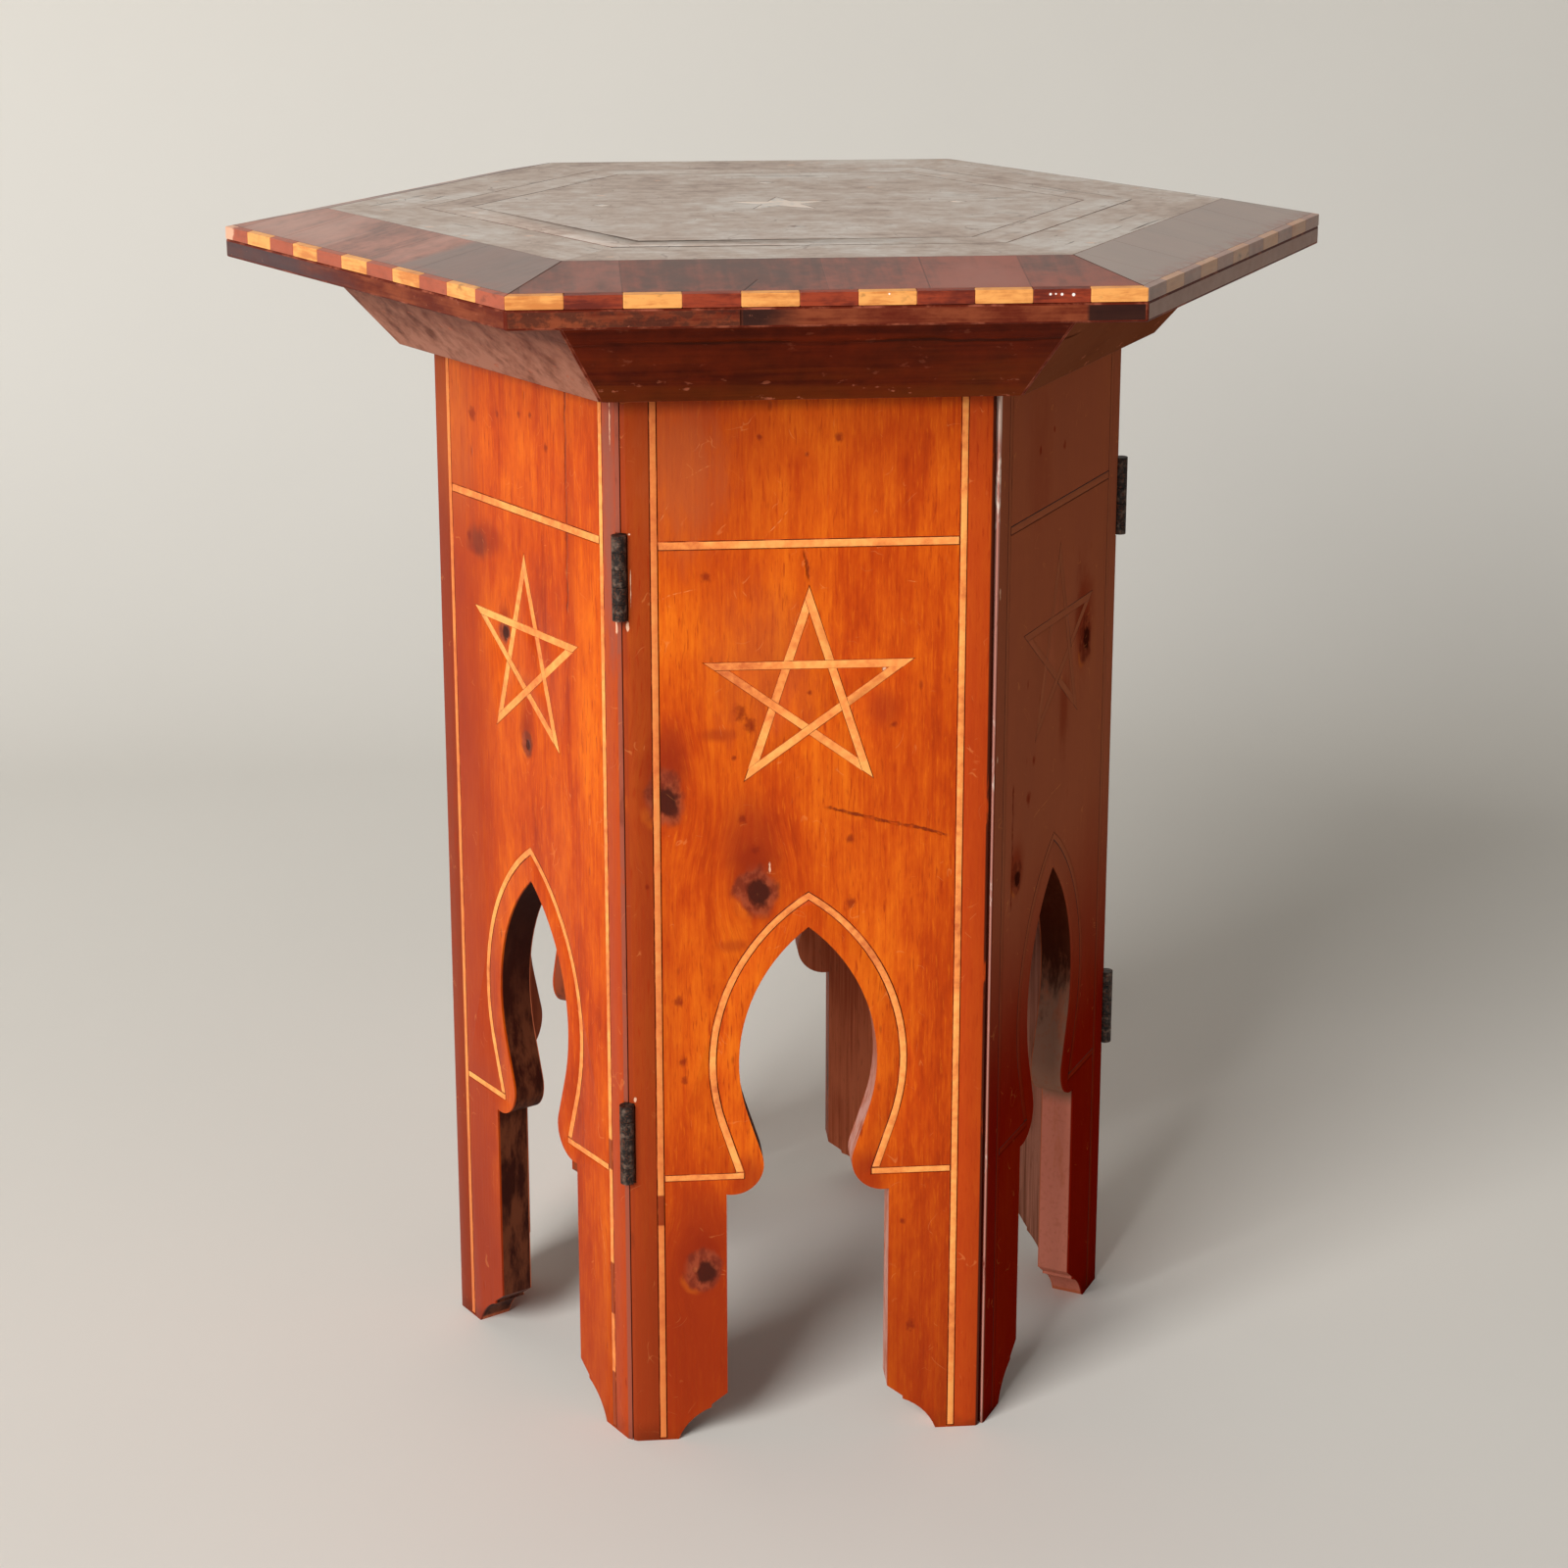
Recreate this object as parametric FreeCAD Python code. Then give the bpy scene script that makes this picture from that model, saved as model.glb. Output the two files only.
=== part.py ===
import FreeCAD, Part

import math
import os

from FreeCAD import Vector

# Sides of the hexagon, anticlockwise from the front as seen from above
side_names = ["front", "front_right", "back_right", "back", "back_left", "front_left"]

# Each hinged side swings on the next side in that order, with its hinge barrels outside or inside.
# The front is hinged to nothing at its right-hand edge, which is the open seam.
barrel_sides = {
    "front_left": "outside",
    "back_left": "inside",
    "back": "outside",
    "back_right": "inside",
    "front_right": "outside",
}

# Base boards, in millimetres, with the floor at zero height
board_width = 165.0
board_thickness = 16.5
board_height = 496.0
arris_flat = 5.0
hinged_seam = 0.6
open_seam = 2.4

# Arch, cusps and coved feet
arch_half_width = 31.5
arch_rise = 65.0
arch_apex_drop = 243.0
arch_return_angle = 18.0
arch_neck_length = 21.0
cusp_radius = 14.5
cusp_setback = 17.2
foot_width = 22.0
foot_cut_height = 23.0
foot_bevel_run = 7.5
foot_bevel_drop = 5.7
foot_step = 1.5
foot_cove_sagitta = 2.4

# Stringing let into the outer face of each board
inlay_depth = 2.0
inlay_clearance = 0.2
upright_string_width = 3.4
upright_string_margin = 14.9
upright_string_lift = 1.0
cross_string_width = 4.0
cross_string_drop = 66.0
arch_string_width = 3.5
arch_string_offset = 12.0
cusp_string_width = 3.4
cusp_string_drop = 5.2

# Five-pointed star of strips in each board
star_points = 5
star_radius = 49.0
star_gap = 17.0
star_strip_width = 3.6

# Iron butt hinges, two at each hinged corner
hinge_length = 38.0
hinge_upper_drop = 79.5
hinge_lower_height = 151.0
hinge_pivot_offset = 0.4
barrel_radius = 3.3
barrel_notch_clearance = 0.6
knuckle_count = 5
knuckle_gap = 0.25
leaf_width = 14.0
leaf_thickness = 1.6
leaf_running_clearance = 0.3
pin_radius = 1.5
pin_clearance = 0.05
screw_shank_radius = 1.3
screw_head_radius = 2.6
screw_head_depth = 1.3
screw_length = 8.0
screw_clearance = 0.05
screw_spread_share = 0.28
screw_reach_share = 0.62

# Cornice of six canted rails under the top
cornice_height = 42.0
cornice_overhang = 13.1
cornice_reveal = 33.8

# Top: core board, bevelled borders and raised field
top_side = 258.0
core_thickness = 8.5
edge_string_height = 5.5
edge_string_depth = 3.0
edge_block_count = 11
border_width = 40.7
field_rise = 8.0
frame_width = 38.1
banding_width = 19.9

# Ornament let into the middle of the field
field_inlay_depth = 2.0
centre_star_radius = 24.0
spot_radius = 4.0
spot_margin = 41.0
spot_count = 4

# Blocks under the top that drop inside the base
block_sides = ["front", "back", "back_left", "front_left"]
block_width = 50.0
block_thickness = 20.0
block_drop = 15.0
block_clearance = 1.5

# Extra length given to every cutting solid
overrun = 5.0

right_angle = 90.0

side_count = len(side_names)
side_turn = 360.0 / side_count
half_turn = math.pi / side_count
sine = math.sin(half_turn)
cosine = math.cos(half_turn)
slope = math.tan(half_turn)
board_apothem = board_width / 2 / slope
inner_apothem = board_apothem - board_thickness
outer_corner = board_apothem / cosine
inner_corner = inner_apothem / cosine
top_apothem = top_side / 2 / slope
field_apothem = top_apothem - border_width
banding_apothem = field_apothem - frame_width
centre_apothem = banding_apothem - banding_width
core_base = board_height + cornice_height
border_base = core_base + core_thickness
edge_top = border_base + edge_string_height
field_top = edge_top + field_rise


def turned(shape, steps):
    copy = shape.copy()
    copy.rotate(Vector(0, 0, 0), Vector(0, 0, 1), side_turn * steps)
    return copy


def polygon_face(points):
    return Part.Face(Part.makePolygon(points + points[:1]))


def prism(plan, low, high):
    face = polygon_face([Vector(x, y, low) for x, y in plan])
    return face.extrude(Vector(0, 0, high - low))


def hexagon(apothem, low, high):
    reach = apothem / cosine
    corners = []
    for step in range(side_count):
        angle = 2 * half_turn * step
        corners.append((reach * math.cos(angle), reach * math.sin(angle)))
    return prism(corners, low, high)


def line(start, end):
    return Part.makeLine(Vector(start[0], 0, start[1]), Vector(end[0], 0, end[1]))


def arc(start, middle, end):
    points = [Vector(u, 0, z) for u, z in (start, middle, end)]
    return Part.Arc(*points).toShape()


def closed_face(edges):
    return Part.Face(Part.Wire(Part.__sortEdges__(edges)))


def mirrored(shape):
    return shape.mirror(Vector(0, 0, 0), Vector(1, 0, 0))


def through_front(face):
    return face.extrude(Vector(0, -(board_apothem + overrun), 0))


def let_in(face, extra):
    placed = face.copy()
    placed.translate(Vector(0, inlay_depth - board_apothem, 0))
    return placed.extrude(Vector(0, -(inlay_depth + extra), 0))


def group(shapes):
    solids = []
    for shape in shapes:
        solids.extend(shape.Solids)
    return Part.makeCompound(solids)


def save(shape, name):
    shape.exportStep(os.path.join("parts", name + ".step"))


# Board blank

def mitre_point(distance, gap):
    u = distance * sine - gap / 2 * cosine
    v = distance * cosine + gap / 2 * sine
    return u, -v


def half_plan(gap):
    setback = arris_flat / 2 / cosine
    inner_distance = (inner_apothem - gap / 2 * sine) / cosine
    inner = mitre_point(inner_distance, gap)
    arris = mitre_point(outer_corner - setback * sine, gap)
    shoulder = (board_width / 2 - setback, -board_apothem)
    return [inner, arris, shoulder]


def board_blank(left_gap, right_gap):
    right = half_plan(right_gap)
    left = [(-x, y) for x, y in reversed(half_plan(left_gap))]
    return prism(right + left, 0, board_height)


# Arch curve, shared by the opening and the string that follows it

arch_centre_u = -(arch_rise ** 2 - arch_half_width ** 2) / (2 * arch_half_width)
arch_radius = arch_half_width - arch_centre_u
arch_spring = board_height - arch_apex_drop - arch_rise
arch_return = math.radians(arch_return_angle)


def arch_apex(offset):
    return 0, arch_spring + math.sqrt((arch_radius + offset) ** 2 - arch_centre_u ** 2)


def arch_point(offset, angle):
    radius = arch_radius + offset
    return arch_centre_u + radius * math.cos(angle), arch_spring + radius * math.sin(angle)


def arch_edge(offset):
    start = arch_point(offset, -arch_return)
    return arc(start, arch_point(offset, 0), arch_apex(offset))


def neck_u(offset, height):
    start = arch_point(offset, -arch_return)
    return start[0] - (start[1] - height) * math.tan(arch_return)


def neck_point():
    start = arch_point(0, -arch_return)
    return (start[0] - arch_neck_length * math.sin(arch_return),
            start[1] - arch_neck_length * math.cos(arch_return))


def cusp_centre():
    u, z = neck_point()
    return u + cusp_radius * math.cos(arch_return), z - cusp_radius * math.sin(arch_return)


def cusp_point(angle):
    u, z = cusp_centre()
    return u + cusp_radius * math.cos(angle), z + cusp_radius * math.sin(angle)


def foot_cove(foot, head):
    run = foot[0] - head[0]
    rise = head[1] - foot[1]
    bulge = foot_cove_sagitta / math.hypot(run, rise)
    middle = ((foot[0] + head[0]) / 2 + bulge * rise, (foot[1] + head[1]) / 2 + bulge * run)
    return arc(foot, middle, head)


def foot_edges(foot, knee):
    bevel_end = (knee[0] + foot_bevel_run, knee[1] - foot_bevel_drop)
    step_end = (bevel_end[0], bevel_end[1] - foot_step)
    return [foot_cove(foot, step_end), line(step_end, bevel_end), line(bevel_end, knee)]


def arch_opening():
    first = math.pi - arch_return
    last = 2 * math.pi - math.acos((cusp_setback - cusp_radius) / cusp_radius)
    cusp_end = cusp_point(last)
    foot = (board_width / 2 - foot_width, 0)
    knee = (cusp_end[0], foot_cut_height)
    edges = [
        line((foot[0], -overrun), foot),
        *foot_edges(foot, knee),
        line(knee, cusp_end),
        arc(cusp_end, cusp_point((first + last) / 2), neck_point()),
        line(neck_point(), arch_point(0, -arch_return)),
        arch_edge(0),
    ]
    edges += [mirrored(edge) for edge in edges]
    edges.append(line((foot[0], -overrun), (-foot[0], -overrun)))
    return through_front(closed_face(edges))


# Stringing, as faces on the board's own plane

def bar(left, right, low, high):
    return polygon_face([Vector(u, 0, z) for u, z in ((left, low), (right, low), (right, high), (left, high))])


def cusp_string_top():
    return cusp_centre()[1] - cusp_string_drop + cusp_string_width / 2


def cross_string_middle():
    return board_height - cross_string_drop


def arch_string_half(grow):
    inner = arch_string_offset - arch_string_width / 2 - grow
    outer = arch_string_offset + arch_string_width / 2 + grow
    foot = cusp_string_top()
    inner_foot = (neck_u(inner, foot), foot)
    outer_foot = (neck_u(outer, foot), foot)
    edges = [
        arch_edge(inner),
        line(arch_apex(inner), arch_apex(outer)),
        arch_edge(outer),
        line(arch_point(outer, -arch_return), outer_foot),
        line(outer_foot, inner_foot),
        line(inner_foot, arch_point(inner, -arch_return)),
    ]
    return closed_face(edges)


def string_faces(grow):
    middle = board_width / 2 - upright_string_margin
    inner = middle - upright_string_width / 2
    outer = middle + upright_string_width / 2
    upright = bar(inner - grow, outer + grow, upright_string_lift - grow, board_height)
    cusp_top = cusp_string_top()
    cusp_tip = neck_u(arch_string_offset - arch_string_width / 2, cusp_top)
    cusp = bar(cusp_tip - grow, inner, cusp_top - cusp_string_width - grow, cusp_top)
    right = [upright, cusp, arch_string_half(grow)]
    cross_low = cross_string_middle() - cross_string_width / 2 - grow
    cross_high = cross_string_middle() + cross_string_width / 2 + grow
    cross = bar(-inner, inner, cross_low, cross_high)
    return right + [mirrored(face) for face in right] + [cross]


# Star of five strips; each strip's outer edge lies on the star's outline

def star_tips(radius):
    turn = 2 * math.pi / star_points
    return [(radius * math.sin(turn * tip), radius * math.cos(turn * tip)) for tip in range(star_points)]


def star_outline(radius):
    waist = radius * math.cos(2 * math.pi / star_points) / math.cos(math.pi / star_points)
    tips = star_tips(radius)
    dips = [(-u, -v) for u, v in star_tips(waist)]
    opposite = (star_points + 1) // 2
    points = []
    for tip in range(star_points):
        points.append(tips[tip])
        points.append(dips[(tip + opposite) % star_points])
    return points


def star_strips(grow):
    star_height = cross_string_middle() - cross_string_width / 2 - star_gap - star_radius
    flat = math.cos(2 * math.pi / star_points)
    reach = star_radius * flat + grow
    radius = reach / flat
    outline = polygon_face([Vector(u, 0, star_height + v) for u, v in star_outline(radius)])
    inner = reach - star_strip_width - 2 * grow
    strips = []
    for tip in range(star_points):
        strip = bar(-star_radius - overrun, star_radius + overrun, inner, reach)
        strip.rotate(Vector(0, 0, 0), Vector(0, 1, 0), 360.0 * tip / star_points)
        strip.translate(Vector(0, 0, star_height))
        strips.append(strip.common(outline))
    return strips


def butted(faces):
    pieces = []
    for index, face in enumerate(faces):
        if index:
            face = face.cut(faces[:index])
        pieces.append(face)
    return pieces


# Hinges, built at a corner that points along +X; side +1 carries and side -1 swings

def hinge_heights():
    return [hinge_lower_height, board_height - hinge_upper_drop]


def pivot_distance(barrel_side):
    if barrel_side == "outside":
        return outer_corner + hinge_pivot_offset
    return inner_corner - hinge_pivot_offset


def leaf_direction(barrel_side):
    return -1 if barrel_side == "outside" else 1


def slab(x_one, x_two, y_one, y_two, low, high):
    return prism([(x_one, y_one), (x_two, y_one), (x_two, y_two), (x_one, y_two)], low, high)


def pivot_cylinder(radius, barrel_side, low, high):
    return Part.makeCylinder(radius, high - low, Vector(pivot_distance(barrel_side), 0, low))


def knuckle_spans(height):
    pitch = (hinge_length + knuckle_gap) / knuckle_count
    start = height - hinge_length / 2
    return [(start + pitch * step, start + pitch * (step + 1) - knuckle_gap) for step in range(knuckle_count)]


def own_knuckle(step, side):
    return (step % 2 == 0) == (side > 0)


def leaf_plate(barrel_side, side, height):
    pivot = pivot_distance(barrel_side)
    face = side * hinged_seam / 2
    back = face + side * leaf_thickness
    end = pivot + leaf_direction(barrel_side) * leaf_width
    return slab(pivot, end, face, back, height - hinge_length / 2, height + hinge_length / 2)


def hinge_screw(barrel_side, side, height, grow):
    x = pivot_distance(barrel_side) + leaf_direction(barrel_side) * leaf_width * screw_reach_share
    start = Vector(x, side * hinged_seam / 2, height)
    inward = Vector(0, side, 0)
    head = Part.makeCone(screw_head_radius + grow, screw_shank_radius + grow, screw_head_depth, start, inward)
    shank = Part.makeCylinder(screw_shank_radius + grow, screw_length + grow, start, inward)
    return head.fuse(shank).removeSplitter()


def hinge_screws(barrel_side, side, grow):
    spread = hinge_length * screw_spread_share
    screws = []
    for height in hinge_heights():
        screws.append(hinge_screw(barrel_side, side, height - spread, grow))
        screws.append(hinge_screw(barrel_side, side, height + spread, grow))
    return screws


def hinge_leaf(barrel_side, side, height):
    leaf = leaf_plate(barrel_side, side, height)
    knuckles = []
    clearances = []
    for step, (low, high) in enumerate(knuckle_spans(height)):
        if own_knuckle(step, side):
            knuckles.append(pivot_cylinder(barrel_radius, barrel_side, low, high))
        else:
            radius = barrel_radius + leaf_running_clearance
            clearances.append(pivot_cylinder(radius, barrel_side, low - knuckle_gap, high + knuckle_gap))
    bore = pivot_cylinder(pin_radius + pin_clearance, barrel_side, height - hinge_length, height + hinge_length)
    holes = hinge_screws(barrel_side, side, screw_clearance)
    return leaf.cut(clearances).fuse(knuckles).removeSplitter().cut([bore] + holes)


def hinge_leaves(barrel_side, side):
    return group([hinge_leaf(barrel_side, side, height) for height in hinge_heights()])


def hinge_pins(barrel_side):
    half = hinge_length / 2
    return group([pivot_cylinder(pin_radius, barrel_side, height - half, height + half)
                  for height in hinge_heights()])


def hinge_seat(barrel_side, side):
    cuts = hinge_screws(barrel_side, side, screw_clearance)
    notch = hinge_length / 2 + barrel_notch_clearance
    for height in hinge_heights():
        radius = barrel_radius + barrel_notch_clearance
        cuts.append(pivot_cylinder(radius, barrel_side, height - notch, height + notch))
        plate = leaf_plate(barrel_side, side, height)
        box = plate.BoundBox
        cuts.append(slab(box.XMin, box.XMax, 0, side * (hinged_seam / 2 + leaf_thickness), box.ZMin, box.ZMax))
    return cuts


def at_corner(shape, index):
    copy = shape.copy()
    copy.rotate(Vector(0, 0, 0), Vector(0, 0, 1), math.degrees(half_turn) - right_angle)
    return turned(copy, index)


# Top

def wedge(low, high):
    reach = 2 * top_side
    plan = [(0, 0), (reach * slope, -reach), (-reach * slope, -reach)]
    return prism(plan, low - overrun, high + overrun)


def mitred_rail(section):
    reach = top_side + overrun
    profile = polygon_face([Vector(-reach, -distance, height) for distance, height in section])
    bar_solid = profile.extrude(Vector(2 * reach, 0, 0))
    heights = [height for distance, height in section]
    return bar_solid.common(wedge(min(heights), max(heights)))


def bevel_height(distance):
    return edge_top + field_rise * (top_apothem - distance) / border_width


def cornice_rail():
    low_outer = board_apothem + cornice_overhang
    high_outer = top_apothem - cornice_reveal
    rail_width = low_outer - inner_apothem
    section = [
        (inner_apothem, board_height),
        (low_outer, board_height),
        (high_outer, core_base),
        (high_outer - rail_width, core_base),
    ]
    return mitred_rail(section)


def edge_string():
    inner = top_apothem - edge_string_depth
    section = [
        (inner, border_base),
        (top_apothem, border_base),
        (top_apothem, edge_top),
        (inner, bevel_height(inner)),
    ]
    return mitred_rail(section)


def border():
    outer = top_apothem - edge_string_depth
    section = [
        (field_apothem, border_base),
        (outer, border_base),
        (outer, bevel_height(outer)),
        (field_apothem, field_top),
    ]
    return mitred_rail(section)


def field_ring(outer, inner):
    strip = mitred_rail([(inner, border_base), (outer, border_base), (outer, field_top), (inner, field_top)])
    return group([turned(strip, step) for step in range(side_count)])


# Every second block of the edge string, so that unlike blocks meet at each corner

def edge_blocks(first):
    string = edge_string()
    pitch = top_side / edge_block_count
    blocks = []
    for index in range(edge_block_count):
        left = -top_side / 2 + pitch * index
        right = left + pitch
        span = slab(left, right, -field_apothem, -(top_apothem + overrun), core_base, field_top)
        blocks.append(string.common(span))
    picked = []
    for step in range(side_count):
        start = (first + step) % 2
        picked += [turned(block, step) for block in blocks[start::2]]
    return group(picked)


def field_ornament(extra):
    low = field_top - field_inlay_depth
    high = field_top + extra
    pieces = [prism(star_outline(centre_star_radius), low, high)]
    ring_radius = centre_apothem - spot_margin
    for index in range(spot_count):
        turn = 2 * math.pi * index / spot_count
        x = ring_radius * math.cos(turn)
        y = ring_radius * math.sin(turn)
        lozenge = [(x + spot_radius, y), (x, y + spot_radius), (x - spot_radius, y), (x, y - spot_radius)]
        pieces.append(prism(lozenge, low, high))
    return pieces


def locating_block():
    outer = inner_apothem - block_clearance
    half = block_width / 2
    return slab(-half, half, -outer, block_thickness - outer, board_height - block_drop, core_base)


# Build

os.makedirs("parts", exist_ok=True)

arch = arch_opening()
grooves = [let_in(face, overrun) for face in string_faces(inlay_clearance) + star_strips(inlay_clearance)]
strings = group([let_in(face, 0) for face in string_faces(0)])
star = group([let_in(face, 0) for face in butted(star_strips(0))])
seats = {name: [] for name in side_names}
screws = {name: [] for name in side_names}
carriers = dict(zip(side_names, side_names[1:] + side_names[:1]))

for index, swinging in enumerate(side_names):
    if swinging not in barrel_sides:
        continue
    barrel_side = barrel_sides[swinging]
    hinge_name = swinging + "_hinge_"
    save(at_corner(hinge_leaves(barrel_side, 1), index), hinge_name + "fixed_leaves")
    save(at_corner(hinge_leaves(barrel_side, -1), index), hinge_name + "swing_leaves")
    save(at_corner(hinge_pins(barrel_side), index), hinge_name + "pins")
    for name, side in ((carriers[swinging], 1), (swinging, -1)):
        seats[name] += [at_corner(cut, index) for cut in hinge_seat(barrel_side, side)]
        screws[name] += [at_corner(screw, index) for screw in hinge_screws(barrel_side, side, 0)]

for index, name in enumerate(side_names):
    clockwise = side_names[index - 1]
    left_gap = hinged_seam if clockwise in barrel_sides else open_seam
    right_gap = hinged_seam if name in barrel_sides else open_seam
    board = board_blank(left_gap, right_gap).cut([arch] + grooves)
    save(turned(board, index).cut(seats[name]), name + "_panel")
    save(turned(strings, index), name + "_stringing")
    save(turned(star, index), name + "_star")
    save(group(screws[name]), name + "_hinge_screws")
    save(turned(cornice_rail(), index), name + "_cornice")
    save(turned(border(), index), name + "_border")

save(hexagon(top_apothem, core_base, border_base), "top_core")
save(field_ring(field_apothem, banding_apothem), "field_frame")
save(field_ring(banding_apothem, centre_apothem), "field_banding")
save(hexagon(centre_apothem, border_base, field_top).cut(field_ornament(overrun)), "field_centre")
save(group(field_ornament(0)), "field_ornament")
save(edge_blocks(0), "edge_light_blocks")
save(edge_blocks(1), "edge_dark_blocks")
save(group([turned(locating_block(), side_names.index(name)) for name in block_sides]), "locating_blocks")
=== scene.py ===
"""Looks of a hexagonal folding table with light stringing, star inlay and a banded, bevelled top."""

import math

import bmesh
import bpy
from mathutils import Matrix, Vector


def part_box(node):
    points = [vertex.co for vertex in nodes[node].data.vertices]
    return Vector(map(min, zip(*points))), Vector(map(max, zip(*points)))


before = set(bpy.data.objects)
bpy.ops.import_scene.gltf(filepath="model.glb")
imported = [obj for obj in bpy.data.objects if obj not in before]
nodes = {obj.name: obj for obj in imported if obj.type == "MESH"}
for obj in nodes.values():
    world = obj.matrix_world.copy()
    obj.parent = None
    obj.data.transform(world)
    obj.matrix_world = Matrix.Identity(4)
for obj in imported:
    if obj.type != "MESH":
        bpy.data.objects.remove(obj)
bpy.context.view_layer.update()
scene = bpy.context.scene


def add_object(name, data):
    obj = bpy.data.objects.new(name, data)
    scene.collection.objects.link(obj)
    return obj


# Sides of the hexagon, anticlockwise from the front as seen from above
SIDES = ["front", "front_right", "back_right", "back", "back_left", "front_left"]
SIDE_TURN = math.radians(60)

# Places taken from the frame, in metres
panel_low, panel_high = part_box("front_panel")
FACE = -panel_low.y
BACK_FACE = -panel_high.y
PANEL_TOP = panel_high.z
HALF_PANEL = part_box("back_panel")[1].x
STRING_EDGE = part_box("front_stringing")[1].x
CORNICE_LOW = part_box("front_cornice")[0].z
CORE_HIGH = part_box("top_core")[1].z
TOP_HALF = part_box("top_core")[1].x / 2
TOP_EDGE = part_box("top_core")[1].y
EDGE_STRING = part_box("edge_light_blocks")[1].z - CORE_HIGH

# Painted strip along a board's corners, and half the width over which its borders fade
CORNER_STRIP = 0.0019
EDGE_LINE = HALF_PANEL - CORNER_STRIP
SOFT = 0.0004

# Depths behind a board's face where the shellac ends, bare wood is full and rounded edges change
SHELLAC_END = 0.0006
BARE_START = 0.0014
EDGE_CHANGE = (0.003, 0.006)

# Fades at the bounds of the arch's walls: beside the strings, at the feet, below the top and at the back
WALL_SIDE = 0.001
WALL_FOOT = (0.001, 0.003)
WALL_TOP = (0.01, 0.02)
WALL_BACK = (0.0002, 0.0006)

# Heights on a board between which its look changes
FOOT_DIRT = (0.0, 0.012)
LEG_SHADE = (0.02, 0.17)
LEG_WALL = (0.112, 0.122)
LIT_RUBBED_WALL = (0.15, 0.22)
SHADED_WALL = (0.165, 0.2)
BROWN_WALL = (0.13, 0.24)

# Depths below a board's top between which its painted sheen turns to painted shade and its pale seam
# changes
SHEEN_TO_SHADE = (0.21, 0.35)
SEAM_BRIGHT = (0.015, 0.028)
SEAM_NARROWING = (0.0, 0.2)

# Width of the pale seam, how much of it goes lower down, and the width of its fade
SEAM_WIDTH = 0.0018
SEAM_LOSS = 0.0007
SEAM_FADE = 0.0003

# Cracks and scratches: half widths, how far they wander, and the lengths over which they start and end
CRACK_HALF = 0.0006
SCRATCH_HALF = 0.0002
LINE_WANDER = 0.003
LINE_START = (-0.001, 0.003)
LINE_END = 0.004

# Heights above the cornice's lower edge between which its look changes, and of its long shake
OLIVE_RISE = (-0.006, 0.034)
DULL_RISE = (0.006, 0.05)
SCUFF_RISE = (0.002, 0.014)
SHAKE_RISE = 0.0285

# Length of one piece of crossbanding, and how far its joints shift from side to side, in pieces
BAND_LENGTH = 0.041
BAND_SHIFT = 0.37

# The crack in the front edge of the top follows the fourth block of its chequered string
EDGE_BLOCKS = 11
BLOCKS_TO_CRACK = 4
CRACK_PLACE = TOP_HALF * (2 * BLOCKS_TO_CRACK / EDGE_BLOCKS - 1)
CRACK_REACH = 0.014


def srgb(red, green, blue):
    """Linear colour of an sRGB one given in levels of 0 to 255."""
    shares = [level / 255 for level in (red, green, blue)]
    linear = [s / 12.92 if s <= 0.04045 else ((s + 0.055) / 1.055) ** 2.4 for s in shares]
    return (*linear, 1.0)


# Colours
SHELLAC_DEEP = srgb(158, 45, 3)
SHELLAC_RED = srgb(188, 65, 4)
SHELLAC_ORANGE = srgb(208, 86, 8)
SHELLAC_LIGHT = srgb(230, 112, 16)
RED_BROWN = srgb(154, 46, 10)
LEG_BROWN = srgb(136, 40, 8)
MARGIN_BROWN = srgb(150, 54, 18)
MARGIN_DARK = srgb(126, 50, 30)
MARGIN_RED = srgb(172, 58, 12)
EDGE_MAUVE = srgb(146, 76, 58)
# Near white of the pale seam, partly painted highlight
EDGE_PALE = srgb(255, 228, 210)
INNER_STAIN = srgb(198, 108, 72)
INNER_DARK = srgb(158, 74, 44)
# Pale, rose and tan of the arch's right-hand walls: rubbed wood with painted light
ARCH_PALE = srgb(206, 154, 140)
ARCH_ROSE = srgb(208, 124, 102)
ARCH_TAN = srgb(150, 108, 88)
ARCH_BROWN = srgb(172, 112, 90)
# Painted shade on the arch's left-hand walls, and high on the front right one
WALL_SHADE = srgb(52, 17, 8)
WALL_BROWN = srgb(104, 54, 32)
HAZE_BROWN = srgb(178, 86, 42)
# Painted sheen, dull brown, and painted shade, dark red, for the front right board
SHEEN_BROWN = srgb(164, 90, 62)
SHADE_RED = srgb(128, 13, 4)
SEAM_PINK = srgb(204, 138, 122)
WORN_EDGE = srgb(186, 104, 76)
CHIP_PALE = srgb(240, 190, 156)
KNOT_HEART = srgb(58, 19, 11)
KNOT_MAUVE = srgb(108, 42, 26)
KNOT_PINK = srgb(150, 70, 44)
KNOT_SHADE = srgb(134, 34, 6)
KNOT_GLOW = srgb(236, 122, 30)
SPOT_RED = srgb(128, 32, 6)
CRACK_RED = srgb(112, 30, 8)
SCRATCH_LIGHT = srgb(242, 152, 84)
GRIME = srgb(50, 18, 8)
INLAY_LIGHT = srgb(250, 170, 90)
INLAY_WARM = srgb(240, 142, 72)
INLAY_DIRTY = srgb(206, 104, 52)
JOINT_BROWN = srgb(98, 32, 10)
IRON_DARK = srgb(34, 26, 23)
IRON_GREY = srgb(126, 104, 90)
IRON_RUST = srgb(104, 58, 38)
CORNICE_BROWN = srgb(112, 34, 7)
CORNICE_DARK = srgb(72, 17, 3)
CORNICE_OLIVE = srgb(108, 50, 8)
CORNICE_UMBER = srgb(128, 73, 48)
CORNICE_DULL = srgb(172, 114, 92)
BORDER_DARK = srgb(88, 56, 48)
BORDER_RED = srgb(152, 78, 60)
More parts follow.
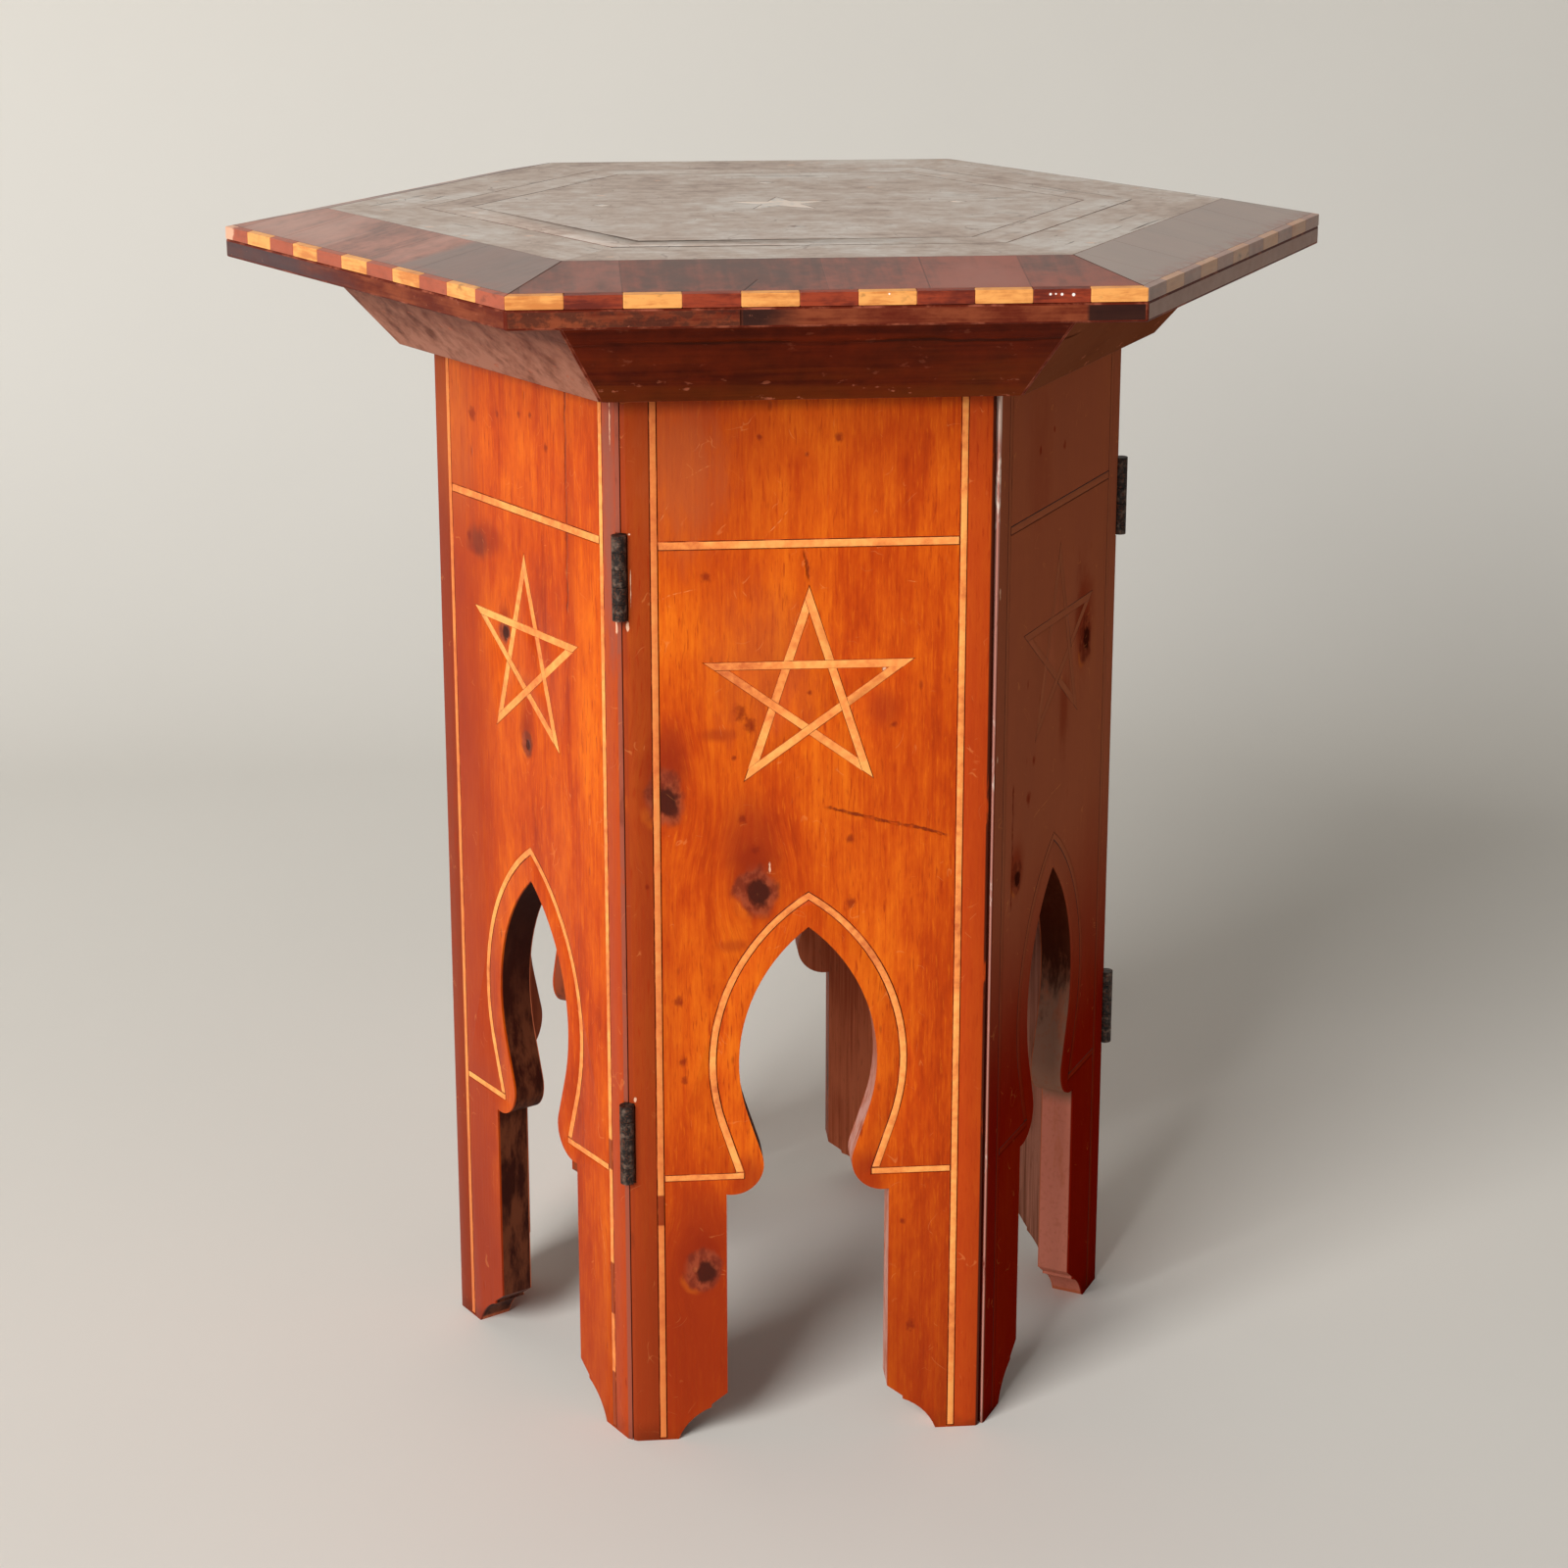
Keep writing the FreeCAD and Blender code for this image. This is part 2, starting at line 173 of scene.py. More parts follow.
# BORDER_GREY: wear, and on the right side painted sheen; BORDER_ROSE: painted sheen on the left border
BORDER_GREY = srgb(172, 152, 141)
BORDER_SLATE = srgb(120, 102, 95)
BORDER_ROSE = srgb(190, 128, 108)
CORE_BROWN = srgb(134, 64, 37)
CORE_RED = srgb(92, 28, 12)
CORE_BLACK = srgb(36, 20, 17)
CORE_GREY = srgb(178, 146, 132)
CORE_BLUE = srgb(74, 62, 64)
# Field of the top: greyed brown wood, painted paler with sheen
FIELD_BROWN = srgb(188, 167, 152)
FIELD_SHEEN_GREY = srgb(214, 204, 194)
FIELD_DARK = srgb(142, 119, 108)
FIELD_SEAM = srgb(126, 104, 93)
STAR_PALE = srgb(236, 218, 202)
CHEQUER_LIGHT = srgb(238, 164, 88)
CHEQUER_TAN = srgb(204, 124, 60)
CHEQUER_RED = srgb(150, 56, 28)
CHEQUER_ROSE = srgb(178, 92, 66)
CHEQUER_DEEP = srgb(98, 30, 16)
CHEQUER_WORN_SHEEN = srgb(192, 164, 150)
SPECK_WHITE = srgb(250, 240, 232)
SOFTWOOD = srgb(176, 128, 84)
SOFTWOOD_DARK = srgb(132, 88, 54)
FLOOR_PALE = srgb(226, 222, 214)
FLOOR_SHADE = srgb(218, 214, 206)

# Marks on the boards are in millimetres: distances right of the board's middle and below its top
MM = 0.001

# Knots: across, down, half width of the heart and of the ring round it, and height against width
KNOTS = {
    "front": [(-64, 180.5, 6.4, 9.4, 1.45), (-23.8, 225, 6, 10.2, 1.2),
              (-48.2, 410, 6, 9.6, 1.1)],
    "front_left": [(-18.7, 126, 4.6, 5.6, 1.1), (-0.5, 176, 2.6, 5.4, 1.3)],
    "front_right": [(38, 140, 5, 9, 1.5), (-50, 233, 4, 7, 1.2)],
    "back_right": [(31, 200, 4.8, 8.8, 1.2), (-38, 44, 3, 6.4, 1.1)],
    "back": [(-44, 212, 4.4, 8.4, 1.3), (29, 46, 3.8, 7.4, 1.1), (50, 402, 3.4, 7, 1.1)],
    "back_left": [(42, 181, 4.2, 8.2, 1.2), (-50, 414, 3.6, 7.4, 1.1)],
}

# Broad shades and smears: across, down, half width, half height and strength
SHADES = {
    "front": [(-50, 30, 52, 62, 0.4), (-62, 160, 10, 18, 0.7), (-26, 201, 15, 24, 0.7),
              (-47, 386, 14, 20, 0.6), (33, 141, 8, 11, 0.6), (-40, 152, 9, 3.5, 0.6),
              (-34, 251, 9, 3.5, 0.5), (-72, 280, 18, 90, 0.4), (-62, 450, 40, 80, 0.75),
              (30, 30, 40, 26, 0.12), (-27, 365, 10, 14, 0.75), (27, 365, 10, 14, 0.75)],
    "front_left": [(-62, 260, 34, 300, 0.75), (-32, 84, 15, 8, 0.8), (-46, 92, 7, 3, 0.9),
                   (-1, 160, 8, 16, 0.5), (40, 60, 6, 70, 0.4), (-62, 460, 50, 60, 0.6)],
    "front_right": [(24, 118, 16, 26, 0.8), (-20, 300, 40, 90, 0.5)],
    "back_right": [(40, 60, 40, 70, 0.5), (-46, 330, 26, 90, 0.6), (60, 450, 40, 70, 0.7)],
    "back": [(-40, 70, 44, 60, 0.6), (44, 250, 22, 80, 0.5), (-60, 450, 40, 70, 0.7)],
    "back_left": [(50, 90, 34, 90, 0.6), (-30, 220, 30, 60, 0.5), (62, 440, 40, 80, 0.7)],
}

# Dull patches: across, down, half width, half height, strength and colour
HAZES = {
    "front": [(-55, 32, 22, 40, 0.6, HAZE_BROWN), (-20, 120, 30, 40, 0.3, HAZE_BROWN)],
    "front_left": [(75, 45, 7, 75, 0.9, EDGE_MAUVE), (-60, 40, 22, 50, 0.4, HAZE_BROWN),
                   (-42, 88, 12, 8, 0.7, KNOT_MAUVE)],
    "front_right": [(30, 130, 9, 34, 0.5, SPOT_RED), (10, 168, 8, 22, 0.5, SPOT_RED),
                    (-30, 40, 18, 40, 0.2, SPOT_RED)],
    "back_right": [(30, 50, 34, 60, 0.5, HAZE_BROWN), (-50, 240, 20, 60, 0.4, HAZE_BROWN)],
    "back": [(-30, 40, 44, 50, 0.5, HAZE_BROWN), (50, 330, 20, 70, 0.4, HAZE_BROWN)],
    "back_left": [(46, 60, 26, 70, 0.5, HAZE_BROWN), (-56, 180, 16, 60, 0.4, HAZE_BROWN)],
}

# Small dark spots: across, down and radius
SPOTS = {
    "front": [(-30.2, 141.8, 3.4), (-26, 147.9, 3.1), (-1.1, 26.3, 1.2), (12.7, 19.7, 2),
              (-21.8, 18.5, 1.4), (-45.1, 80.2, 2.3), (37.6, 149, 1.7), (0.4, 133.5, 1.2),
              (-29.8, 191, 2.4), (-58.6, 277, 2.4), (-56.6, 306, 2.2), (-56, 315, 1.8),
              (48.4, 442, 2.6), (18.8, 231.7, 2.6), (44, 389, 1.6), (18.9, 202, 2.1),
              (-33, 162.5, 1.1), (-24, 206, 2.2), (-72, 221.6, 1.2)],
    "front_left": [(-50.5, 86.5, 2.4), (-44.6, 27.5, 3), (-21.2, 24, 1.8), (-1.9, 21, 1.6),
                   (8.4, 20, 1.5), (21.8, 32.6, 1.8)],
    "front_right": [(-30, 36, 1.8), (-12, 30, 1.6), (-36, 199, 3), (-30, 182, 2.4),
                    (2, 40, 2)],
    "back_right": [(2, 86, 2.4), (-20, 150, 1.6), (18, 26, 1.6)],
    "back": [(15, 196, 2.6), (-30, 28, 1.8), (8, 110, 1.4)],
    "back_left": [(-12, 30, 2.2), (20, 144, 1.8), (-44, 300, 2)],
}

# Dark cracks and pale scratches: across and down at one end, then at the other
CRACKS = {
    "front": [(7.3, 187, 64, 201.6), (-1.7, 69, 0.4, 84)],
    "front_left": [(38.6, 0, 38.2, 106)],
    "front_right": [(-56, 186, -56.2, 248)],
    "back_right": [(48, 4, 47.8, 56)],
    "back": [(-20, 4, -20.5, 62)],
    "back_left": [(24, 6, 24.3, 88)],
}
SCRATCHES = {
    "front": [(-66.3, 90, -48.8, 85), (-53.6, 35.7, -41.5, 30.3), (-9, 50.6, -19.7, 63.5),
              (42.8, 83.6, 50.3, 83.8), (-65, 55, -60, 46)],
    "front_left": [(56, 384, 62, 416)],
    "front_right": [(-30, 210, 10, 204)],
    "back_right": [(-20, 250, 14, 244)],
    "back": [(30, 160, 52, 148)],
    "back_left": [(-60, 120, -34, 130)],
}

# Pale chips: across, down, half width and half height
CHIPS = {
    "front": [(-78.2, 60.4, 0.5, 0.4), (-77.8, 84, 0.2, 9), (-79.4, 101.6, 0.6, 2.2),
              (-78.8, 324, 0.6, 1.2), (33.3, 123.5, 0.9, 0.9), (-17.6, 214.5, 0.6, 2.4)],
    "front_left": [(79.4, 102.4, 0.6, 2.6), (76, 12, 0.5, 12)],
    "front_right": [(-78, 92, 0.7, 3), (-77.6, 168, 0.6, 2)],
    "back_right": [(78, 230, 0.8, 2)],
    "back": [(-78, 60, 0.8, 1.6)],
    "back_left": [(77.6, 300, 0.8, 2)],
}

# Lengths of upright string that are lost: -1 for the left string or 1 for the right, and the span down
LOST_STRINGS = {
    "front": [(-1, 372, 386)],
    "front_left": [(1, 349, 363), (1, 411, 436), (1, 467, 496)],
}

# Colours of the margins outside the strings and of the corner edges, left and right
MARGINS = {"front_left": (MARGIN_DARK, MARGIN_RED), "front_right": (MARGIN_DARK, MARGIN_DARK)}
EDGES = {
    "front": (MARGIN_BROWN, GRIME),
    "front_right": (MARGIN_DARK, MARGIN_DARK),
}
PLAIN_MARGINS = (MARGIN_BROWN, MARGIN_RED)
PLAIN_EDGES = (MARGIN_DARK, EDGE_MAUVE)

# Shine of the shellac, and how far painted sheen and shade hide the board and its inlay on the one side
# that has them
FRESH_SHINE = 0.11
SHINES = {"front_right": 0.0}
SHEEN_AND_SHADE_VEILS = {"front_right": 0.92}

# Walls of the arch: on the right hand the colours of the leg and of the arch, rubbed and with painted
# light, the least cover of these, and the share of painted shade above them, and on the left hand the
# painted shade of the upper part
WALLS = {
    "front": (ARCH_PALE, ARCH_PALE, 0.0, 0.0, WALL_SHADE),
    "front_left": (ARCH_PALE, ARCH_PALE, 0.0, 0.0, WALL_SHADE),
    "front_right": (ARCH_ROSE, ARCH_TAN, 0.65, 0.92, WALL_BROWN),
}
PLAIN_WALL = (INNER_STAIN, INNER_STAIN, 0.0, 0.0, INNER_DARK)

# Bare wood inside the boards: lighter and darker colour
INSIDES = {"back_right": (ARCH_BROWN, WALL_BROWN)}
PLAIN_INSIDE = (INNER_STAIN, INNER_DARK)

# Shine of the top's worn field, and roughness of the polish over its borders
FIELD_SHINE = 0.33
COAT_ROUGHNESS = 0.22

# Boards with a pale seam of wear and painted highlight at the left corner
PALE_SEAMS = ["front_right"]

# White specks on the front edge of the top: across, below the edge's upper line, and radius
SPECKS = [(89, 2.6, 0.55), (91.2, 2.5, 0.4), (93.7, 2.7, 0.6), (98.4, 2.9, 0.7), (24, 1.6, 0.4)]


class Field:
    """A number, colour or vector that varies over a surface: one output of a material's nodes."""

    def __init__(self, paint, socket):
        self.paint = paint
        self.socket = socket

    def __add__(self, other):
        return self.paint.math("ADD", self, other)

    def __sub__(self, other):
        return self.paint.math("SUBTRACT", self, other)

    def __rsub__(self, other):
        return self.paint.math("SUBTRACT", other, self)

    def __mul__(self, other):
        return self.paint.math("MULTIPLY", self, other)

    def __truediv__(self, other):
        return self.paint.math("DIVIDE", self, other)

    def __pow__(self, other):
        return self.paint.math("POWER", self, other)

    def do(self, operation, *others):
        return self.paint.math(operation, self, *others)

    def over(self, low, high):
        """0 below low, 1 above high, smooth between."""
        node = self.paint.add("ShaderNodeMapRange", interpolation_type="SMOOTHSTEP")
        self.paint.put(node.inputs["Value"], self)
        node.inputs["From Min"].default_value = low
        node.inputs["From Max"].default_value = high
        return Field(self.paint, node.outputs[0])

    def under(self, low, high):
        """1 below low, 0 above high, smooth between."""
        return 1 - self.over(low, high)

    def span(self, low, high):
        """A number of 0 to 1 spread over low to high."""
        return self * (high - low) + low

    def swing(self, amount):
        """A number of 0 to 1 turned into one round zero, spread over the amount."""
        return (self - 0.5) * amount


# Numbers of the colour sockets on a mix node
MIX_FIRST, MIX_SECOND, MIX_RESULT = 6, 7, 2


class Paint:
    """A material and short calls for the nodes that paint it."""

    def __init__(self, name):
        self.material = bpy.data.materials.new(name)
        self.material.use_nodes = True
        self.tree = self.material.node_tree
        self.surface = self.tree.nodes["Principled BSDF"]

    def add(self, kind, **settings):
        node = self.tree.nodes.new(kind)
        for key, value in settings.items():
            setattr(node, key, value)
        return node

    def put(self, socket, value):
        if isinstance(value, Field):
            self.tree.links.new(value.socket, socket)
        else:
            socket.default_value = value

    def math(self, operation, *values):
        node = self.add("ShaderNodeMath", operation=operation)
        for socket, value in zip(node.inputs, values):
            self.put(socket, value)
        return Field(self, node.outputs[0])

    def split(self, vector):
        node = self.add("ShaderNodeSeparateXYZ")
        self.put(node.inputs[0], vector)
        return [Field(self, output) for output in node.outputs]

    def vector(self, x, y, z):
        node = self.add("ShaderNodeCombineXYZ")
        for socket, value in zip(node.inputs, (x, y, z)):
            self.put(socket, value)
        return Field(self, node.outputs[0])

    def place(self):
        """The point's own place on its resting piece, as x, y and z."""
        node = self.add("ShaderNodeTexCoord")
        return self.split(Field(self, node.outputs["Object"]))

    def board_place(self, index):
        """Across, outwards and height on one side of the hexagon."""
        x, y, z = self.place()
        sine, cosine = math.sin(index * SIDE_TURN), math.cos(index * SIDE_TURN)
        return x * cosine + y * sine, x * sine - y * cosine, z

    def sector_place(self):
        """Across, outwards and height on the nearest side of the hexagon, and that side's number."""
        x, y, z = self.place()
        turn = self.math("ARCTAN2", x, 0 - y)
        side = (turn / SIDE_TURN).do("ROUND")
        sine, cosine = (side * SIDE_TURN).do("SINE"), (side * SIDE_TURN).do("COSINE")
        return x * cosine + y * sine, x * sine - y * cosine, z, side.do("FLOORED_MODULO", len(SIDES))

    def noise(self, x, y, z, seed, detail, rough=0.5, twist=0.0):
        node = self.add("ShaderNodeTexNoise", noise_dimensions="4D")
        self.put(node.inputs["Vector"], self.vector(x, y, z))
        self.put(node.inputs["W"], seed)
        node.inputs["Scale"].default_value = 1.0
        node.inputs["Detail"].default_value = detail
        node.inputs["Roughness"].default_value = rough
        node.inputs["Distortion"].default_value = twist
        return Field(self, node.outputs[0])

    def cells(self, x, y, z):
        """Distance to the nearest of scattered points, and a random number for each."""
        node = self.add("ShaderNodeTexVoronoi")
        self.put(node.inputs["Vector"], self.vector(x, y, z))
        node.inputs["Scale"].default_value = 1.0
        return Field(self, node.outputs["Distance"]), self.split(Field(self, node.outputs["Color"]))[0]

    def chance(self, x, y):
        """A random number for each pair of whole numbers."""
        node = self.add("ShaderNodeTexWhiteNoise", noise_dimensions="3D")
        self.put(node.inputs["Vector"], self.vector(x, y, 0.0))
        return Field(self, node.outputs["Value"])

    def ramp(self, value, stops):
        node = self.add("ShaderNodeValToRGB")
        self.put(node.inputs[0], value)
        marks = node.color_ramp.elements
        while len(marks) < len(stops):
            marks.new(0.5)
        for mark, (position, colour) in zip(marks, stops):
            mark.position = position
            mark.color = colour
        return Field(self, node.outputs[0])

    def blend(self, first, second, share):
        node = self.add("ShaderNodeMix", data_type="RGBA")
        self.put(node.inputs["Factor"], share)
        self.put(node.inputs[MIX_FIRST], first)
        self.put(node.inputs[MIX_SECOND], second)
        return Field(self, node.outputs[MIX_RESULT])

    def finish(self, colour, roughness, height=None, depth=0.0004, shine=0.3, coat=0.0, metal=0.0):
        """Colour and roughness from fields, relief from a height field, plain numbers for the rest."""
        inputs = self.surface.inputs
        self.put(inputs["Base Color"], colour)
        self.put(inputs["Roughness"], roughness)
        inputs["Specular IOR Level"].default_value = shine
        inputs["Coat Weight"].default_value = coat
        inputs["Coat Roughness"].default_value = COAT_ROUGHNESS
        inputs["Metallic"].default_value = metal
        if height is not None:
            bump = self.add("ShaderNodeBump")
            self.put(bump.inputs["Height"], height)
            bump.inputs["Strength"].default_value = 1.0
            bump.inputs["Distance"].default_value = depth
            self.tree.links.new(bump.outputs[0], inputs["Normal"])
        return self.material


def seen_sides(side):
    """Masks of the front, front right and front left sides, which differ in wear and in painted sheen."""
    numbers = [SIDES.index(name) for name in ("front", "front_right", "front_left")]
    return [(side - number).do("ABSOLUTE").under(0.2, 0.4) for number in numbers]


# Wood of the boards

def near(u, drop, mark):
    """Distance from the middle of an oval mark, in its own half sizes."""
    across, down, wide, tall = (size * MM for size in mark)
    return (((u - across) / wide) ** 2 + ((drop - down) / tall) ** 2).do("SQRT")


def joined(masks):
    """The highest of several masks."""
    total = masks[0]
    for mask in masks[1:]:
        total = total.do("MAXIMUM", mask)
    return total


def edge_zones(u, line):
    """Masks of the strips outside a line that lies equally far from the board's middle on both sides."""
    return u.under(-line - SOFT, -line + SOFT), u.over(line - SOFT, line + SOFT)


class Board:
    """Places on one board, and the patterns that the layers of its look share."""

    def __init__(self, paint, name, index):
        self.paint = paint
        self.name = name
        self.u, self.v, self.z = paint.board_place(index)
        self.drop = PANEL_TOP - self.z
        self.seed = 3.7 * index + 1.0
        self.wander = self.pattern(self.u, 90, 90, 0, 2)
        self.mottle = self.pattern(self.u, 480, 380, 6, 3)
        self.grit = self.pattern(self.u, 210, 130, 23, 3, 0.6)
        self.cloud = self.pattern(self.u, 15, 8, 9, 3, 0.55)
        self.breaks = self.pattern(self.u, 110, 36, 13, 4, 0.65)
        self.curl = self.pattern(self.u, 55, 55, 17, 1, 0.5, 1.4)
        bent = self.bent_round_knots()
        self.broad = self.pattern(bent, 34, 6, 0, 3, 0.55, 0.6)
        self.blotch = self.pattern(bent, 170, 48, 2, 4, 0.65)
        self.fine = paint.noise(bent * 700, self.v * 500, self.z * 16, self.seed + 5, 2, 0.6)
        self.fleck = self.pattern(bent, 950, 105, 21, 2, 0.6, 0.3)

    def pattern(self, u, across, along, step, detail, rough=0.5, twist=0.0):
        """Noise of so many waves to the metre across and along the board."""
        place = (u * across, self.v * across, self.z * along)
        return self.paint.noise(*place, self.seed + step, detail, rough, twist)

    def near(self, mark):
        return near(self.u, self.drop, mark)

    def bent_round_knots(self):
        """Distance across, drawn together at the knots so that the grain bends round them."""
        bent = self.u
        for across, down, _, ring, tall in KNOTS[self.name]:
            pull = self.near((across, down, ring, ring * tall * 1.3)).under(0.5, 2.8)
            bent = bent - (self.u - across * MM) * pull * 0.7
        return bent

    def line(self, ends, half):
        """1 along a wandering, uneven line between two points, with a half width in metres."""
        across, down, across_end, down_end = (size * MM for size in ends)
        length = math.hypot(across_end - across, down_end - down)
        run_u, run_drop = (across_end - across) / length, (down_end - down) / length
        right, below = self.u - across, self.drop - down
        along = right * run_u + below * run_drop
        aside = right * run_drop - below * run_u + self.wander.swing(LINE_WANDER)
        uneven = aside.do("ABSOLUTE") + self.mottle.swing(half * 3)
        within = along.over(*LINE_START) * along.under(length - LINE_END, length)
        return uneven.under(half * 0.4, half * 1.6) * within


def painted_sheen_and_shade(paint, drop, cloud):
    """Painted sheen, dull brown, high on a board, that turns to painted shade, dark red, low down."""
    return paint.blend(SHEEN_BROWN, SHADE_RED, (drop + cloud.swing(0.08)).over(*SHEEN_TO_SHADE))


def paint_shellac(paint, board):
    """Orange shellac over streaked softwood, redder in shades, at the margins and down the legs."""
    tone = board.cloud * 0.34 + board.broad * 0.28 + board.blotch * 0.24 + board.fine * 0.14
    stops = [(0.38, SHELLAC_DEEP), (0.46, SHELLAC_RED), (0.53, SHELLAC_ORANGE), (0.62, SHELLAC_LIGHT)]
    colour = paint.ramp(tone, stops)
    colour = paint.blend(colour, SHELLAC_LIGHT, board.fleck.under(0.3, 0.44) * 0.35)
    for *oval, strength in SHADES[board.name]:
        shade = board.near(oval) + board.cloud.swing(0.9)
        colour = paint.blend(colour, RED_BROWN, shade.under(0.25, 1.25) * strength)
    legs = (board.z + board.cloud.swing(0.12)).under(*LEG_SHADE)
    colour = paint.blend(colour, LEG_BROWN, legs * 0.5)
    for mask, tint in zip(edge_zones(board.u, STRING_EDGE), MARGINS.get(board.name, PLAIN_MARGINS)):
        colour = paint.blend(colour, tint, mask * board.broad.span(0.55, 0.95))
    dark_flecks = board.fleck.over(0.54, 0.72) * board.cloud.over(0.36, 0.6).span(0.25, 0.7)
    colour = paint.blend(colour, SHELLAC_DEEP, dark_flecks)
    # The front right board goes under painted sheen high up and painted shade low down
    return paint.blend(colour, painted_sheen_and_shade(paint, board.drop, board.cloud), SHEEN_AND_SHADE_VEILS.get(board.name, 0.0))


def paint_knot(paint, board, colour, mark):
    """A knot: red shade up the grain, a faint light rim low on its left, a mottled ring, a dark heart."""
    across, down, heart, ring, tall = mark
    length = ring * tall
    shade = board.near((across, down - length * 0.6, ring * 1.4, length * 1.9)) + board.wander.swing(0.8)
    colour = paint.blend(colour, KNOT_SHADE, shade.under(0.2, 1.2) * 0.65)
    rim = board.near((across, down, ring, length)) + board.wander.swing(0.8)
    low_left = board.near((across - ring * 0.7, down + length * 0.7, ring * 0.8, ring * 0.8))
    glow = rim.over(0.85, 1.0) * rim.under(1.1, 1.35) * low_left.under(0.4, 1.0)
    colour = paint.blend(colour, KNOT_GLOW, glow * 0.2)
    spread = paint.blend(KNOT_MAUVE, KNOT_PINK, board.grit.over(0.42, 0.62))
    colour = paint.blend(colour, spread, (rim + board.grit.swing(0.6)).under(0.75, 1.1) * 0.75)
    core = board.near((across + ring * 0.15, down + ring * 0.1, heart, heart * tall))
    pit = (core + board.wander.swing(0.9) + board.grit.swing(0.8)).under(0.6, 1.0)
    return paint.blend(colour, KNOT_HEART, pit * board.grit.span(0.6, 1.2)), pit


def paint_stains(paint, board, colour):
    """Dull patches, knots, spots and fine specks, and how far the knots and specks are sunk in."""
    for *oval, strength, tint in HAZES[board.name]:
        haze = board.near(oval) + board.blotch.swing(1.6)
        colour = paint.blend(colour, tint, haze.under(0.2, 1.25) * strength)
    pits = []
    for mark in KNOTS[board.name]:
        colour, pit = paint_knot(paint, board, colour, mark)
        pits.append(pit)
    for across, down, radius in SPOTS[board.name]:
        spot = board.near((across, down, radius, radius * 1.15)) + board.mottle.swing(2.0)
        colour = paint.blend(colour, SPOT_RED, spot.under(0.2, 1.25) * 0.75)
    distance, random = paint.cells(board.u * 120 + board.seed, board.z * 44, board.seed)
    specks = distance.under(0.04, 0.15) * random.over(0.78, 0.94)
    colour = paint.blend(colour, SPOT_RED, specks * 0.55)
    return colour, joined(pits) * 0.5 + specks * 0.3


def paint_seam(paint, colour, u, drop, breaks):
    """A broken pale line of wear and painted highlight down a board's left corner, nearly white at the
    top and in short lengths.
    """
    bright = breaks.over(0.56, 0.64).do("MAXIMUM", drop.under(*SEAM_BRIGHT) * 0.7)
    inner = SEAM_WIDTH - HALF_PANEL
    line = (u + drop.over(*SEAM_NARROWING) * SEAM_LOSS).under(inner, inner + SEAM_FADE)
    return paint.blend(colour, paint.blend(SEAM_PINK, EDGE_PALE, bright), line * breaks.over(0.3, 0.4))


def paint_corners(paint, board, colour):
    """Streaked strips along a board's corners, with a pale seam where the board has one."""
    for mask, tint in zip(edge_zones(board.u, EDGE_LINE), EDGES.get(board.name, PLAIN_EDGES)):
        streaked = paint.blend(tint, GRIME, board.breaks.over(0.54, 0.72) * 0.6)
        colour = paint.blend(colour, streaked, mask * board.breaks.over(0.3, 0.44) * 0.9)
    if board.name in PALE_SEAMS:
        colour = paint_seam(paint, colour, board.u, board.drop, board.breaks)
    return colour


def paint_damage(paint, board, colour):
    """Cracks, scratches, chips and dirty feet, the chips by themselves, and how deep the damage goes."""
    cracks = joined([board.line(ends, CRACK_HALF) for ends in CRACKS[board.name]])
    colour = paint.blend(colour, CRACK_RED, cracks * board.blotch.over(0.34, 0.56) * 0.85)
    scratches = joined([board.line(ends, SCRATCH_HALF) for ends in SCRATCHES[board.name]])
    curls = (board.curl - 0.5).do("ABSOLUTE").under(0.003, 0.01) * board.wander.over(0.58, 0.64)
    scratches = (scratches * board.mottle.over(0.4, 0.6)).do("MAXIMUM", curls * 0.4)
    colour = paint.blend(colour, SCRATCH_LIGHT, scratches * 0.5)
    ragged = board.mottle.swing(2.6)
    chips = joined([(board.near(mark) + ragged).under(0.6, 1.1) for mark in CHIPS[board.name]])
    colour = paint.blend(colour, CHIP_PALE, chips * 0.85)
    colour = paint.blend(colour, GRIME, board.z.under(*FOOT_DIRT) * board.wander.over(0.3, 0.6) * 0.4)
    return colour, chips, cracks * 0.8 + chips * 0.4 + scratches * 0.2


def bare_inside(paint, board):
    """Bare stain inside a board and round its arch, rubbed with painted light on the right hand and in
    painted shade on the left, and where it shows.
    """
    u, v, z = board.u, board.v, board.z
    aside = u.do("ABSOLUTE")
    inside = v.under(FACE - BARE_START, FACE - SHELLAC_END)
    inside = inside * aside.under(EDGE_LINE - SHELLAC_END, EDGE_LINE)
    streaks = board.broad * 0.45 + board.fine * 0.3 + board.cloud * 0.25
    bare = paint.blend(*INSIDES.get(board.name, PLAIN_INSIDE), streaks.over(0.42, 0.6))
    bare = paint.blend(bare, WALL_BROWN, board.fleck.over(0.56, 0.74) * 0.4)
    wall = aside.under(STRING_EDGE - WALL_SIDE, STRING_EDGE) * z.over(*WALL_FOOT)
    wall = wall * board.drop.over(*WALL_TOP) * (v - BACK_FACE).over(*WALL_BACK)
    # Right-hand walls of the front sides are rubbed pale with painted light, the front right one in
    # painted shade higher up; left-hand walls are in painted shade
    leg, arch, cover, shaded, left = WALLS.get(board.name, PLAIN_WALL)
    worn = paint.blend(arch, leg, z.under(*LEG_WALL))
    worn = paint.blend(worn, INNER_DARK, board.mottle.over(0.5, 0.72) * 0.22)
    patches = board.blotch.over(0.34, 0.58) * 0.85 + cover
    rubbed = paint.blend(bare, worn, z.under(*LIT_RUBBED_WALL) * patches)
    rubbed = paint.blend(rubbed, WALL_SHADE, (z + board.blotch.swing(0.1)).over(*SHADED_WALL) * shaded)
    shaded_left = paint.blend(left, WALL_BROWN, z.under(*BROWN_WALL) * board.blotch.over(0.4, 0.62))
    lit_and_shaded = paint.blend(shaded_left, rubbed, u.over(-0.0005, 0.0005))
    return paint.blend(bare, lit_and_shaded, wall), inside


